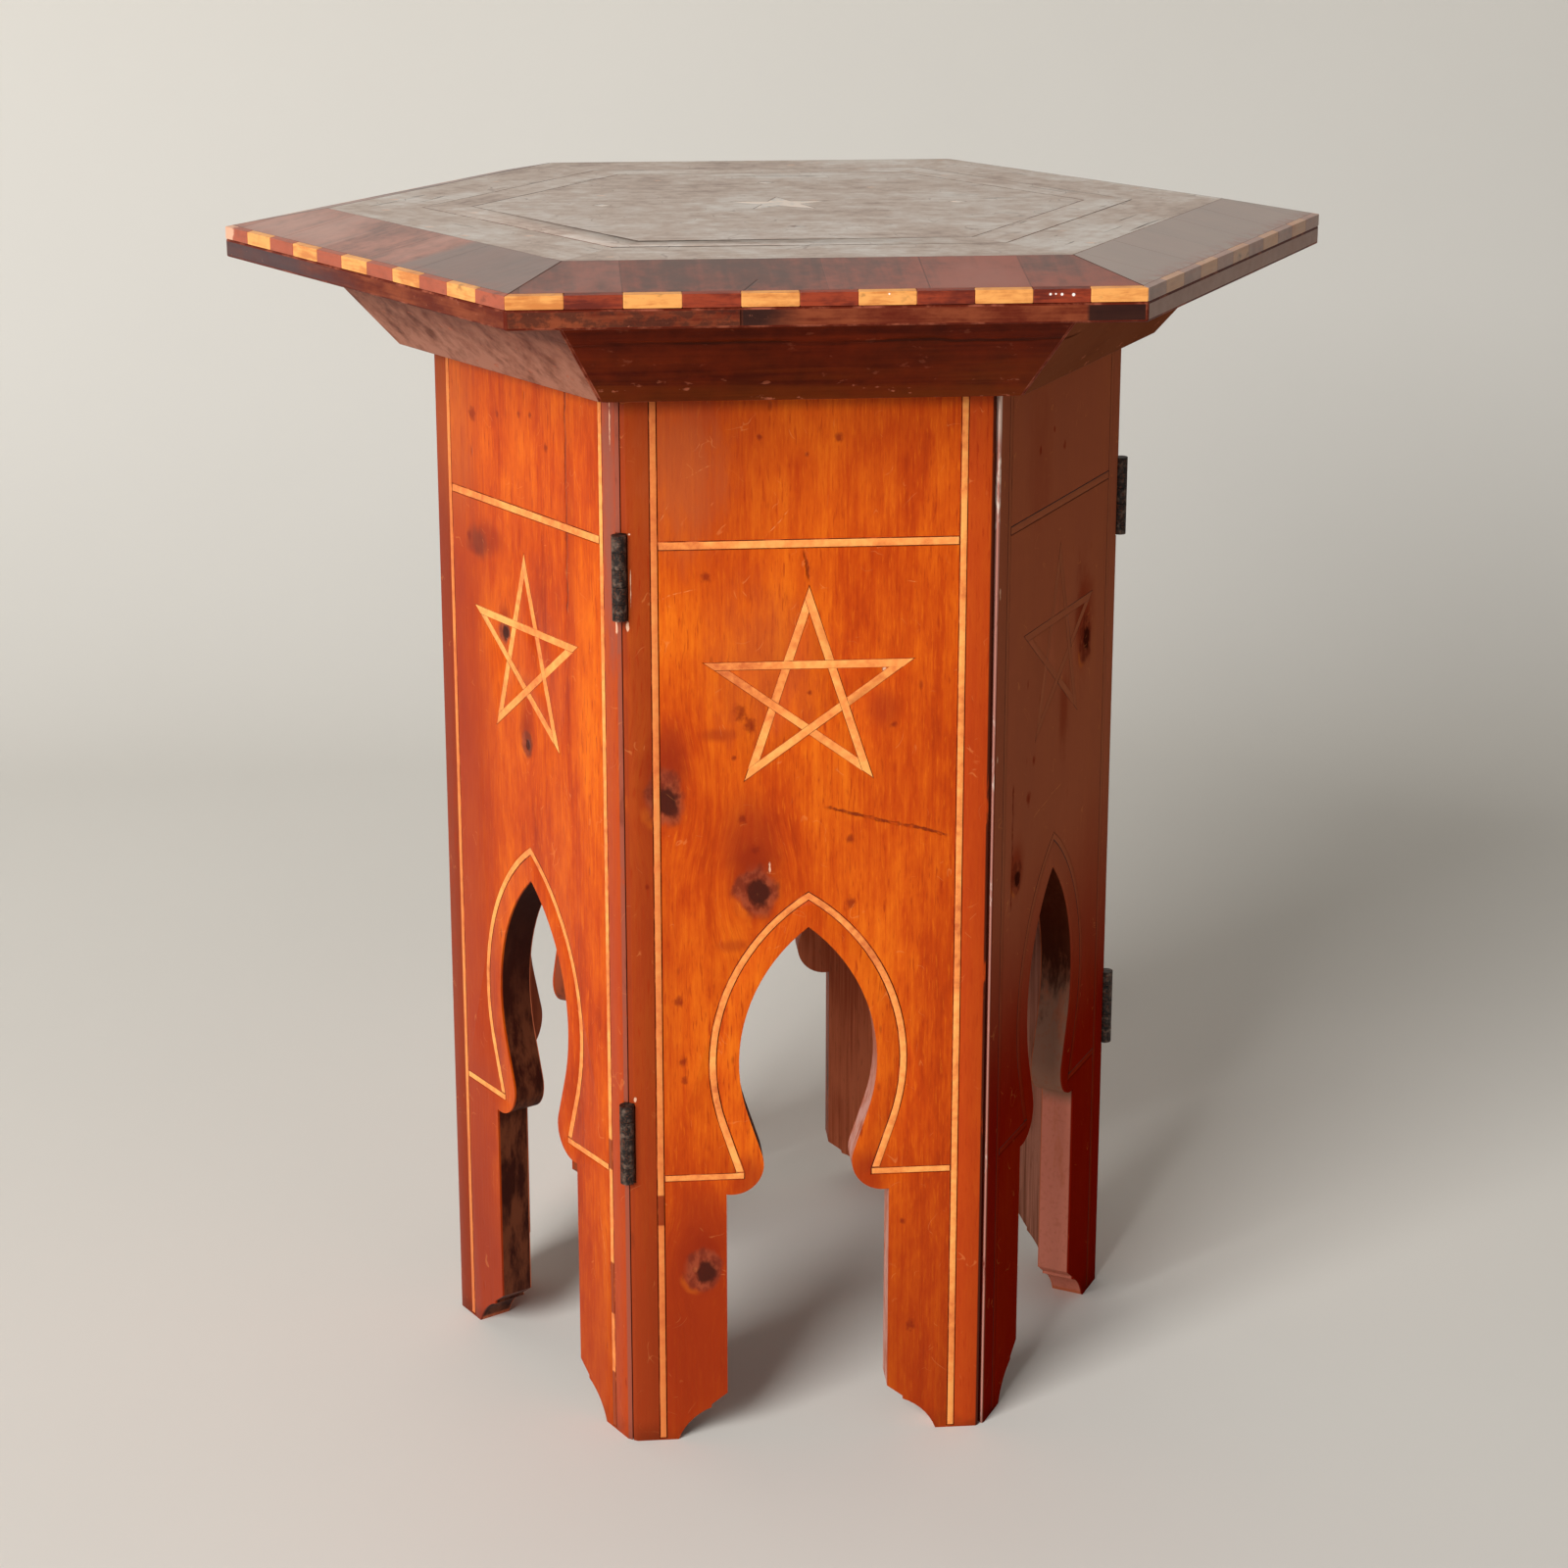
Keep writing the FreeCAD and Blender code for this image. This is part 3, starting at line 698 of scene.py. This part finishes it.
def shellac_board(name, index):
    """A board with shellac and marks outside, and bare stain inside."""
    paint = Paint(name + "_shellac")
    board = Board(paint, name, index)
    colour = paint_shellac(paint, board)
    colour, pits = paint_stains(paint, board, colour)
    colour = paint_corners(paint, board, colour)
    colour, chips, damage = paint_damage(paint, board, colour)
    bare, inside = bare_inside(paint, board)
    colour = paint.blend(colour, bare, inside)
    gloss = (board.cloud * 0.5 + board.fine * 0.5).span(0.24, 0.5) + inside * 0.22 + chips * 0.2
    relief = board.fine * 0.14 + board.blotch * 0.16 + board.cloud * 0.2 - pits - damage
    return paint.finish(colour, gloss, relief, depth=0.0005, shine=SHINES.get(name, FRESH_SHINE))


def worn_arris(name, index):
    """Rubbed edges of a board, where the shellac is thin, dull and chipped, under painted sheen and shade
    on the front right board.
    """
    paint = Paint(name + "_worn_edge")
    u, v, z = paint.board_place(index)
    patch = paint.noise(u * 120, v * 120, z * 60, index + 0.5, 3, 0.6)
    colour = paint.blend(MARGIN_DARK, WORN_EDGE, patch.over(0.42, 0.62))
    for mask, tint in zip(edge_zones(u, EDGE_LINE), EDGES.get(name, PLAIN_EDGES)):
        colour = paint.blend(colour, tint, mask * patch.over(0.36, 0.5) * 0.85)
    chips = paint.noise(u * 260, v * 260, z * 120, index + 7.5, 2)
    colour = paint.blend(colour, CHIP_PALE, chips.over(0.68, 0.74) * 0.7)
    front, back = EDGE_CHANGE
    outside = v.over(FACE - back, FACE - front)
    # Inside, the rounded edges take the leg colour of the arch's right-hand wall, with its painted light
    # on the front sides
    colour = paint.blend(WALLS.get(name, PLAIN_WALL)[0], colour, outside.span(0.5, 1.0))
    drop = PANEL_TOP - z
    # Painted sheen and shade over the front right board's rounded edges
    colour = paint.blend(colour, painted_sheen_and_shade(paint, drop, patch), outside * (SHEEN_AND_SHADE_VEILS.get(name, 0.0) * 0.8))
    if name in PALE_SEAMS:
        colour = paint_seam(paint, colour, u, drop, patch)
    return paint.finish(colour, patch.span(0.42, 0.62), chips, shine=SHINES.get(name, FRESH_SHINE))


# Inlay

def inlay(name, index):
    """Light wood strips under the same shellac, dirty in places, with the grain along them."""
    paint = Paint(name + "_inlay")
    u, v, z = paint.board_place(index)
    drop = PANEL_TOP - z
    streak = paint.noise(u * 300, v * 100, z * 300, index + 4, 3, 0.6)
    patch = paint.noise(u * 26, v * 26, z * 26, index + 8, 3, 0.6)
    stops = [(0.36, INLAY_DIRTY), (0.48, INLAY_WARM), (0.6, INLAY_LIGHT)]
    colour = paint.ramp(streak * 0.4 + patch * 0.6, stops)
    left = u.under(-STRING_EDGE + 0.003, -STRING_EDGE + 0.005)
    low = drop.over(PANEL_TOP - 0.14, PANEL_TOP)
    colour = paint.blend(colour, INLAY_DIRTY, left * 0.5 + low * 0.3)
    # Painted sheen and shade hide the front right board's inlay
    colour = paint.blend(colour, painted_sheen_and_shade(paint, drop, patch), SHEEN_AND_SHADE_VEILS.get(name, 0.0) * 1.04)
    for hand, first, last in LOST_STRINGS.get(name, []):
        upright = (u * hand).over(STRING_EDGE - 0.004, STRING_EDGE - 0.0035)
        span = drop.over((first - 1) * MM, first * MM) * drop.under(last * MM, (last + 1) * MM)
        colour = paint.blend(colour, LEG_BROWN, upright * span * 0.9)
    relief = streak * 0.5 + patch * 0.5
    shine = SHINES.get(name, FRESH_SHINE)
    return paint.finish(colour, streak.span(0.3, 0.5), relief, depth=0.0002, shine=shine)


# Iron

def iron(name, grey):
    """Dark iron, greyer where it is handled, with rust in its pits."""
    paint = Paint(name)
    x, y, z = paint.place()
    worn = paint.noise(x * 300, y * 300, z * 300, 2, 4, 0.65)
    pits = paint.noise(x * 1100, y * 1100, z * 1100, 5, 2)
    colour = paint.blend(IRON_DARK, IRON_GREY, worn.over(0.46, 0.7) * grey)
    colour = paint.blend(colour, IRON_RUST, pits.over(0.5, 0.68) * 0.75)
    return paint.finish(colour, worn.span(0.42, 0.7), pits * 0.6 + worn * 0.4, metal=0.35)


# Cornice

def cornice(name, shine):
    """Dark stained rails with grain along them, olive low down and red above, with pale scuffs."""
    paint = Paint(name)
    u, v, z, side = paint.sector_place()
    seed = side * 5.3
    streak = paint.noise(u * 9, v * 130, z * 190, seed, 3, 0.6, 0.4)
    patch = paint.noise(u * 24, v * 24, z * 30, seed + 2, 3, 0.55)
    mottle = paint.noise(u * 110, v * 110, z * 110, seed + 9, 4, 0.65)
    tone = streak * 0.4 + patch * 0.3 + mottle * 0.3
    colour = paint.ramp(tone, [(0.4, CORNICE_DARK), (0.6, CORNICE_BROWN)])
    rise = z - CORNICE_LOW
    low = (rise + patch.swing(0.06)).under(*OLIVE_RISE)
    colour = paint.blend(colour, CORNICE_OLIVE, low * streak.over(0.3, 0.66) * 0.6)
    _, right, left = seen_sides(side)
    dull = (patch * 0.4 + mottle * 0.6).over(0.3, 0.66) * rise.under(*DULL_RISE)
    colour = paint.blend(colour, CORNICE_DULL, left * dull * 1.25)
    # Painted sheen on the right side's cornice, duller and lighter
    colour = paint.blend(colour, CORNICE_UMBER, right * patch.span(0.5, 1.1))
    scuff = paint.noise(u * 110 + z * 90, v * 150, z * 210 - u * 40, seed + 6, 3, 0.6)
    near_edge = rise.under(*SCUFF_RISE) * 0.8 + left * 0.5 + 0.2
    scuffs = scuff.over(0.62, 0.68) * near_edge
    colour = paint.blend(colour, WORN_EDGE, scuffs * 0.8)
    shake = (rise - SHAKE_RISE + patch.swing(0.006)).do("ABSOLUTE").under(0.0002, 0.0012)
    shake = shake * streak.over(0.4, 0.55)
    colour = paint.blend(colour, GRIME, shake * 0.75)
    relief = streak * 0.4 + patch * 0.3 + mottle * 0.2 - scuffs * 0.5 - shake * 0.8
    return paint.finish(colour, patch.span(0.36, 0.6), relief, depth=0.0005, shine=shine)


def rubbed_edge(name, base, rubbed, share):
    """Edges of the dark woods or of the joints, rubbed lighter in places."""
    paint = Paint(name)
    x, y, z = paint.place()
    patch = paint.noise(x * 90, y * 90, z * 90, 3, 4, 0.65)
    colour = paint.blend(base, rubbed, patch.over(0.48, 0.66) * share)
    return paint.finish(colour, patch.span(0.35, 0.6), patch, shine=0.1)


# Top

def edge_crack(u, v, front):
    """A crack in from the front edge of the top, where two blocks of the edge stringing meet."""
    line = (u - CRACK_PLACE - (TOP_EDGE - v) * 0.5).do("ABSOLUTE").under(0.0002, 0.0007)
    end = TOP_EDGE - CRACK_REACH
    return line * front * v.over(end - 0.002, end)


def border():
    """Crossbanded borders: grain square to the edge, in short lengths of differing red and brown."""
    paint = Paint("border_crossbanding")
    u, v, z, side = paint.sector_place()
    front, right, left = seen_sides(side)
    seed = side * 4.1
    lengths = u / BAND_LENGTH + side * BAND_SHIFT
    length = lengths.do("FLOOR")
    pick = paint.chance(length, side)
    streak = paint.noise(u * 170, v * 14, z * 14, seed, 3, 0.6, 0.5)
    patch = paint.noise(u * 26, v * 20, z * 20, seed + 3, 3, 0.55)
    mottle = paint.noise(u * 130, v * 130, z * 130, seed + 7, 4, 0.65)
    tone = streak * 0.25 + patch * 0.4 + mottle * 0.35 + pick.swing(0.14)
    redder = front * u.over(-0.06, 0.1) * 0.14
    colour = paint.blend(BORDER_DARK, BORDER_RED, (tone + redder).over(0.4, 0.7))
    # Painted sheen makes the left border rosy
    colour = paint.blend(colour, BORDER_ROSE, left * tone.over(0.3, 0.7) * 0.85)
    # Grey patches of wear, and on the right side grey painted sheen
    grey = (patch * 0.6 + pick * 0.4).over(0.5, 0.68) * (0.35 - front * 0.2)
    grey = grey.do("MAXIMUM", right * patch.span(0.65, 1.1))
    colour = paint.blend(colour, BORDER_GREY, grey)
    end = left * (u + patch.swing(0.03)).over(0.028, 0.036)
    colour = paint.blend(colour, BORDER_SLATE, end * mottle.span(0.6, 1.0))
    lip = (v - TOP_EDGE + 0.012).over(0.0, 0.012)
    colour = paint.blend(colour, BORDER_RED, lip * mottle.over(0.4, 0.6) * 0.6)
    joint = (lengths - length - 0.5).do("ABSOLUTE").over(0.488, 0.497)
    joint = (joint * pick.over(0.4, 0.6) * 0.6).do("MAXIMUM", edge_crack(u, v, front))
    colour = paint.blend(colour, GRIME, joint * 0.65)
    relief = streak * 0.3 + patch * 0.4 + mottle * 0.2 - joint * 0.6
    return paint.finish(colour, patch.span(0.34, 0.52), relief, shine=0.4, coat=0.2)


def field(name, along, seed_step):
    """Worn field of the top: brown wood gone grey and painted paler with sheen, with dents and fine dark
    shakes along the grain.
    """
    paint = Paint(name)
    if along:
        u, v, z, side = paint.sector_place()
        seed = side * seed_step
    else:
        u, v, z = paint.place()
        seed = seed_step
    streak = paint.noise(u * 12, v * 150, z, seed, 4, 0.6, 0.6)
    patch = paint.noise(u * 16, v * 16, z, seed + 2, 5, 0.62)
    mottle = paint.noise(u * 120, v * 120, z, seed + 8, 4, 0.65)
    tone = streak * 0.2 + patch * 0.45 + mottle * 0.35
    # Colours of the field, painted pale with sheen
    colour = paint.ramp(tone, [(0.36, FIELD_DARK), (0.47, FIELD_BROWN), (0.6, FIELD_SHEEN_GREY)])
    shake = paint.noise(u * 16, v * 330, z, seed + 5, 2, 0.5, 1.2)
    shakes = shake.over(0.66, 0.7) * patch.over(0.46, 0.56)
    colour = paint.blend(colour, GRIME, shakes * 0.75)
    dent, random = paint.cells(u * 60, v * 60, seed)
    dents = dent.under(0.05, 0.2) * random.over(0.7, 0.8)
    colour = paint.blend(colour, CHIP_PALE, dents * 0.4)
    curl = paint.noise(u * 30, v * 30, z, seed + 17, 1, 0.5, 1.2)
    curls = (curl - 0.5).do("ABSOLUTE").under(0.002, 0.008) * mottle.over(0.46, 0.58)
    colour = paint.blend(colour, FIELD_DARK, curls * 0.6)
    relief = streak * 0.25 + patch * 0.5 + mottle * 0.2 - shakes * 0.8 - dents * 0.5 - curls * 0.2
    return paint.finish(colour, patch.span(0.48, 0.62), relief, depth=0.0005, shine=FIELD_SHINE)


def core_edge():
    """Stained edge of the top's board: dirty in front, black by the crack and the right corner."""
    paint = Paint("core_edge_stain")
    u, v, z, side = paint.sector_place()
    patch = paint.noise(u * 30, v * 60, z * 120, side * 2.3, 4, 0.6)
    streak = paint.noise(u * 14, v * 300, z * 420, side * 3.1, 3, 0.6)
    mottle = paint.noise(u * 160, v * 160, z * 200, side * 1.7, 4, 0.65)
    tone = patch * 0.5 + streak * 0.3 + mottle * 0.2
    colour = paint.blend(CORE_RED, CORE_BROWN, tone.over(0.4, 0.6))
    front, right, left = seen_sides(side)
    dirty = front * u.under(CRACK_PLACE - 0.001, CRACK_PLACE) * mottle.over(0.4, 0.56)
    beside = (u + patch.swing(0.02)).under(CRACK_PLACE + 0.008, CRACK_PLACE + 0.03)
    stained = (u - CRACK_PLACE).over(0.0, 0.0008) * beside
    stained = stained.do("MAXIMUM", u.over(TOP_HALF - 0.0255, TOP_HALF - 0.0235)) * front
    colour = paint.blend(colour, CORE_BLACK, stained.do("MAXIMUM", dirty * 0.7) * 0.9)
    blue = left * (u + patch.swing(0.1)).under(-0.07, 0.01)
    colour = paint.blend(colour, CORE_BLUE, blue * mottle.span(0.5, 1.1))
    # Grey on the right side: wear and painted sheen
    colour = paint.blend(colour, CORE_GREY, right * mottle.span(0.6, 1.1))
    shut = right * z.over(CORE_HIGH - 0.0012, CORE_HIGH - 0.0004)
    crack = (u - CRACK_PLACE).do("ABSOLUTE").under(0.0002, 0.0006) * front
    colour = paint.blend(colour, GRIME, crack.do("MAXIMUM", shut) * 0.9)
    scuffs = mottle.over(0.64, 0.7)
    colour = paint.blend(colour, WORN_EDGE, scuffs * 0.5)
    relief = streak * 0.4 + patch * 0.4 + mottle * 0.2 - scuffs * 0.5 - crack
    return paint.finish(colour, patch.span(0.36, 0.6), relief, depth=0.0005, shine=0.12)


def chequer(name, pale, deep, worn_sheen_share, rose_share):
    """Blocks of the edge stringing: grain along the edge, rosy on the left, worn grey with painted sheen
    on the right.
    """
    paint = Paint(name)
    u, v, z, side = paint.sector_place()
    front, right, left = seen_sides(side)
    block = (u / (2 * TOP_HALF) * EDGE_BLOCKS + 0.5).do("FLOOR")
    pick = paint.chance(block, side)
    streak = paint.noise(u * 60, v * 420, z * 520, pick * 20, 3, 0.6, 0.5)
    patch = paint.noise(u * 90, v * 110, z * 140, side + 1, 4, 0.6)
    colour = paint.blend(deep, pale, (streak * 0.5 + patch * 0.5 + pick.swing(0.1)).over(0.38, 0.58))
    uneven = patch.span(0.4, 1.1)
    colour = paint.blend(colour, CHEQUER_ROSE, left * uneven * rose_share)
    # Wear and painted sheen grey the blocks on the right side
    colour = paint.blend(colour, CHEQUER_WORN_SHEEN, right * uneven * worn_sheen_share)
    colour = paint.blend(colour, GRIME, patch.over(0.6, 0.76) * 0.5)
    fallen = CORE_HIGH + EDGE_STRING - z
    ovals = [(across, down, radius, radius) for across, down, radius in SPECKS]
    specks = joined([near(u, fallen, oval).under(0.6, 1.2) for oval in ovals])
    colour = paint.blend(colour, SPECK_WHITE, specks * front)
    chip = (u + patch.swing(0.012)).under(-TOP_HALF + 0.008, -TOP_HALF + 0.01)
    colour = paint.blend(colour, CHIP_PALE, left * chip * 0.7)
    relief = streak * 0.6 + patch * 0.4
    return paint.finish(colour, streak.span(0.3, 0.5), relief, depth=0.0003)


def worn_star():
    """Ornament in the field, worn down so that only parts of it are still pale."""
    paint = Paint("worn_field_inlay")
    x, y, z = paint.place()
    patch = paint.noise(x * 70, y * 70, z, 4, 3, 0.6)
    # The worn parts take the field's colours, painted pale with sheen
    colour = paint.ramp(patch, [(0.4, FIELD_DARK), (0.5, FIELD_SHEEN_GREY), (0.6, STAR_PALE)])
    return paint.finish(colour, patch.span(0.48, 0.62), patch, shine=FIELD_SHINE)


def plain_softwood():
    """Bare wood of the blocks under the top."""
    paint = Paint("plain_softwood")
    x, y, z = paint.place()
    streak = paint.noise(x * 30, y * 260, z * 260, 1, 3, 0.6, 0.4)
    colour = paint.blend(SOFTWOOD_DARK, SOFTWOOD, streak.over(0.36, 0.62))
    return paint.finish(colour, streak.span(0.55, 0.75), streak, depth=0.0005)


# Softened edges

# Least angle of a sharp edge, and the distance and the digits within which points are the same
SHARP_ANGLE = math.radians(28)
SAME_POINT = 1e-6
POINT_DIGITS = 6

# Depth of the inlay's grooves, reach of the feet and of the mitres, and share of rounding at the mitres
GROOVE_DEPTH = 0.0023
FOOT_REACH = 0.001
MITRE_REACH = 0.001
MITRE_SHARE = 0.35

# Widths of rounding
BOARD_ROUND = 0.0009
STRIP_ROUND = 0.00036
RAIL_ROUND = 0.0009
BORDER_ROUND = 0.0004
CORE_ROUND = 0.0011
FIELD_ROUND = 0.00045
STAR_ROUND = 0.0002
CHEQUER_ROUND = 0.0004
BLOCK_ROUND = 0.0008


def point(vert):
    return tuple(round(c, POINT_DIGITS) for c in vert.co)


def outline_edges(obj, index):
    """Shares of rounding by the ends of a board's sharp edges: less at mitres, none at inlay grooves."""
    sine, cosine = math.sin(index * SIDE_TURN), math.cos(index * SIDE_TURN)
    mesh = bmesh.new()
    mesh.from_mesh(obj.data)
    bmesh.ops.remove_doubles(mesh, verts=mesh.verts, dist=SAME_POINT)
    found = {}
    for edge in mesh.edges:
        if len(edge.link_faces) != 2 or edge.calc_face_angle() < SHARP_ANGLE:
            continue
        corners = [vert.co for face in edge.link_faces for vert in face.verts]
        innermost = min(corner.x * sine - corner.y * cosine for corner in corners)
        highest = max(vert.co.z for vert in edge.verts)
        if innermost > FACE - GROOVE_DEPTH and highest > FOOT_REACH:
            continue
        across = min(abs(vert.co.x * cosine + vert.co.y * sine) for vert in edge.verts)
        ends = frozenset(point(vert) for vert in edge.verts)
        found[ends] = MITRE_SHARE if across > HALF_PANEL - MITRE_REACH else 1.0
    mesh.free()
    return found


def soften(obj, width, edges=None, worn=None, segments=2):
    """Rounds a node's edges by modifiers; the rounded strips take the worn material."""
    weld = obj.modifiers.new("join", "WELD")
    weld.merge_threshold = SAME_POINT
    bevel = obj.modifiers.new("soft_edges", "BEVEL")
    bevel.width = width
    bevel.segments = segments
    bevel.limit_method = "ANGLE"
    bevel.angle_limit = SHARP_ANGLE
    if edges is not None:
        bevel.limit_method = "WEIGHT"
        weights = obj.data.attributes.new("bevel_weight_edge", "FLOAT", "EDGE")
        points = [point(vert) for vert in obj.data.vertices]
        for edge in obj.data.edges:
            ends = frozenset(points[i] for i in edge.vertices)
            weights.data[edge.index].value = edges.get(ends, 0.0)
    if worn is not None:
        obj.data.materials.append(worn)
        bevel.material = len(obj.data.materials) - 1
    obj.modifiers.new("even_shading", "WEIGHTED_NORMAL")


def dress(node, material):
    obj = nodes[node]
    obj.data.materials.clear()
    obj.data.materials.append(material)
    return obj


hinge_iron = iron("hinge_iron", 0.8)
screw_iron = iron("screw_iron", 0.4)
cornice_stain = cornice("cornice_stain", 0.07)
dull_cornice = cornice("dull_cornice_stain", 0.0)
border_wood = border()
dark_rubbed = rubbed_edge("rubbed_cornice_edge", CORNICE_BROWN, WORN_EDGE, 0.6)
border_rubbed = rubbed_edge("rubbed_border_edge", BORDER_DARK, BORDER_RED, 0.6)
core_rubbed = rubbed_edge("rubbed_core_edge", CORE_RED, WORN_EDGE, 0.5)
inlay_joints = rubbed_edge("inlay_joints", JOINT_BROWN, INLAY_DIRTY, 0.8)
# Joints of the front right side: dark with painted shade, rubbed in places to painted sheen
shaded_joints_with_sheen = rubbed_edge("shaded_inlay_joints_with_sheen", GRIME, SHEEN_BROWN, 0.2)
field_joints = rubbed_edge("field_joints", FIELD_SEAM, FIELD_BROWN, 0.9)

for index, side in enumerate(SIDES):
    # The side under painted sheen and shade takes the shaded joints and a cornice without shine
    dull = side in SHEEN_AND_SHADE_VEILS
    panel = dress(side + "_panel", shellac_board(side, index))
    soften(panel, BOARD_ROUND, outline_edges(panel, index), worn_arris(side, index))
    strips = inlay(side, index)
    for part in ("_stringing", "_star"):
        strip = dress(side + part, strips)
        soften(strip, STRIP_ROUND, worn=shaded_joints_with_sheen if dull else inlay_joints, segments=1)
    dress(side + "_hinge_screws", screw_iron)
    rail = dress(side + "_cornice", dull_cornice if dull else cornice_stain)
    soften(rail, RAIL_ROUND, worn=dark_rubbed)
    soften(dress(side + "_border", border_wood), BORDER_ROUND, worn=border_rubbed)
    if side != "front":
        for part in ("_hinge_fixed_leaves", "_hinge_swing_leaves", "_hinge_pins"):
            dress(side + part, hinge_iron)

soften(dress("top_core", core_edge()), CORE_ROUND, worn=core_rubbed)
field_woods = [("field_frame", True, 3.3), ("field_banding", True, 6.1), ("field_centre", False, 2.7)]
for part, along, seed_step in field_woods:
    wood = field(part + "_wood", along, seed_step)
    soften(dress(part, wood), FIELD_ROUND, worn=field_joints, segments=1)
soften(dress("field_ornament", worn_star()), STAR_ROUND, segments=1)
light_blocks = chequer("chequer_light_wood", CHEQUER_LIGHT, CHEQUER_TAN, worn_sheen_share=0.8, rose_share=0.0)
dark_blocks = chequer("chequer_dark_wood", CHEQUER_RED, CHEQUER_DEEP, worn_sheen_share=0.9, rose_share=0.9)
soften(dress("edge_light_blocks", light_blocks), CHEQUER_ROUND)
soften(dress("edge_dark_blocks", dark_blocks), CHEQUER_ROUND)
soften(dress("locating_blocks", plain_softwood()), BLOCK_ROUND)


# Stage: a pale floor that sweeps up into a backdrop
SWEEP_HALF = 8.0
SWEEP_FRONT = -8.0
SWEEP_BACK = 1.5
SWEEP_RADIUS = 0.6
SWEEP_HEIGHT = 3.0
SWEEP_STEPS = 24
FLOOR_ROUGHNESS = 0.8


def open_back(paint):
    """Lets the back of a surface be seen through, so that the backdrop hides nothing from behind."""
    side = paint.add("ShaderNodeNewGeometry")
    clear = paint.add("ShaderNodeBsdfTransparent")
    choice = paint.add("ShaderNodeMixShader")
    links = paint.tree.links
    links.new(side.outputs["Backfacing"], choice.inputs[0])
    links.new(paint.surface.outputs[0], choice.inputs[1])
    links.new(clear.outputs[0], choice.inputs[2])
    links.new(choice.outputs[0], paint.tree.nodes["Material Output"].inputs["Surface"])


def sweep():
    bend = SWEEP_BACK - SWEEP_RADIUS
    profile = [(SWEEP_FRONT, 0.0), (bend, 0.0)]
    for step in range(1, SWEEP_STEPS + 1):
        angle = math.pi / 2 * step / SWEEP_STEPS
        profile.append((bend + SWEEP_RADIUS * math.sin(angle), SWEEP_RADIUS * (1 - math.cos(angle))))
    profile.append((SWEEP_BACK, SWEEP_HEIGHT))
    verts = [(x, y, z) for y, z in profile for x in (-SWEEP_HALF, SWEEP_HALF)]
    faces = [(2 * i, 2 * i + 1, 2 * i + 3, 2 * i + 2) for i in range(len(profile) - 1)]
    mesh = bpy.data.meshes.new("stage_sweep")
    mesh.from_pydata(verts, [], faces)
    for polygon in mesh.polygons:
        polygon.use_smooth = True
    obj = add_object("stage_sweep", mesh)
    paint = Paint("stage_pale")
    x, y, z = paint.place()
    tint = paint.noise(x * 2, y * 2, z * 2, 1, 3)
    colour = paint.blend(FLOOR_PALE, FLOOR_SHADE, tint)
    obj.data.materials.append(paint.finish(colour, FLOOR_ROUGHNESS))
    open_back(paint)


sweep()

# Light: one broad soft lamp from the upper left, and a pale even sky
WORLD_LEVEL = 0.17
KEY_LEVEL = 1.16
KEY_PLACE = Vector((-2.445, -3.0, 2.4))
KEY_AIM = Vector((0.0, 0.0, 0.3))
KEY_SIZE = 2.25

world = bpy.data.worlds.new("sky")
world.use_nodes = True
background = world.node_tree.nodes["Background"]
background.inputs["Color"].default_value = (1.0, 1.0, 1.0, 1.0)
background.inputs["Strength"].default_value = WORLD_LEVEL
scene.world = world

lamp = bpy.data.lights.new("key", "AREA")
lamp.shape = "SQUARE"
lamp.size = KEY_SIZE
lamp.energy = KEY_LEVEL * math.pi ** 2 * (KEY_PLACE - KEY_AIM).length_squared
key = add_object("key", lamp)
key.location = KEY_PLACE
key.rotation_euler = (KEY_AIM - KEY_PLACE).to_track_quat("-Z", "Y").to_euler()

# Camera at the photograph's angle: lens and sensor in millimetres, pitch down and turn in degrees
CAMERA_LENS = 68.69
CAMERA_SENSOR = 36.0
CAMERA_SHIFT = -0.12
CAMERA_PLACE = (-0.122, -1.4, 0.7328)
CAMERA_PITCH = 14.487
CAMERA_TURN = -5.043

camera_data = bpy.data.cameras.new("camera")
camera_data.sensor_width = CAMERA_SENSOR
camera_data.lens = CAMERA_LENS
camera_data.shift_y = CAMERA_SHIFT
camera = add_object("camera", camera_data)
camera.location = CAMERA_PLACE
camera.rotation_euler = (math.radians(90 - CAMERA_PITCH), 0.0, math.radians(CAMERA_TURN))
scene.camera = camera
scene.view_settings.view_transform = "Standard"
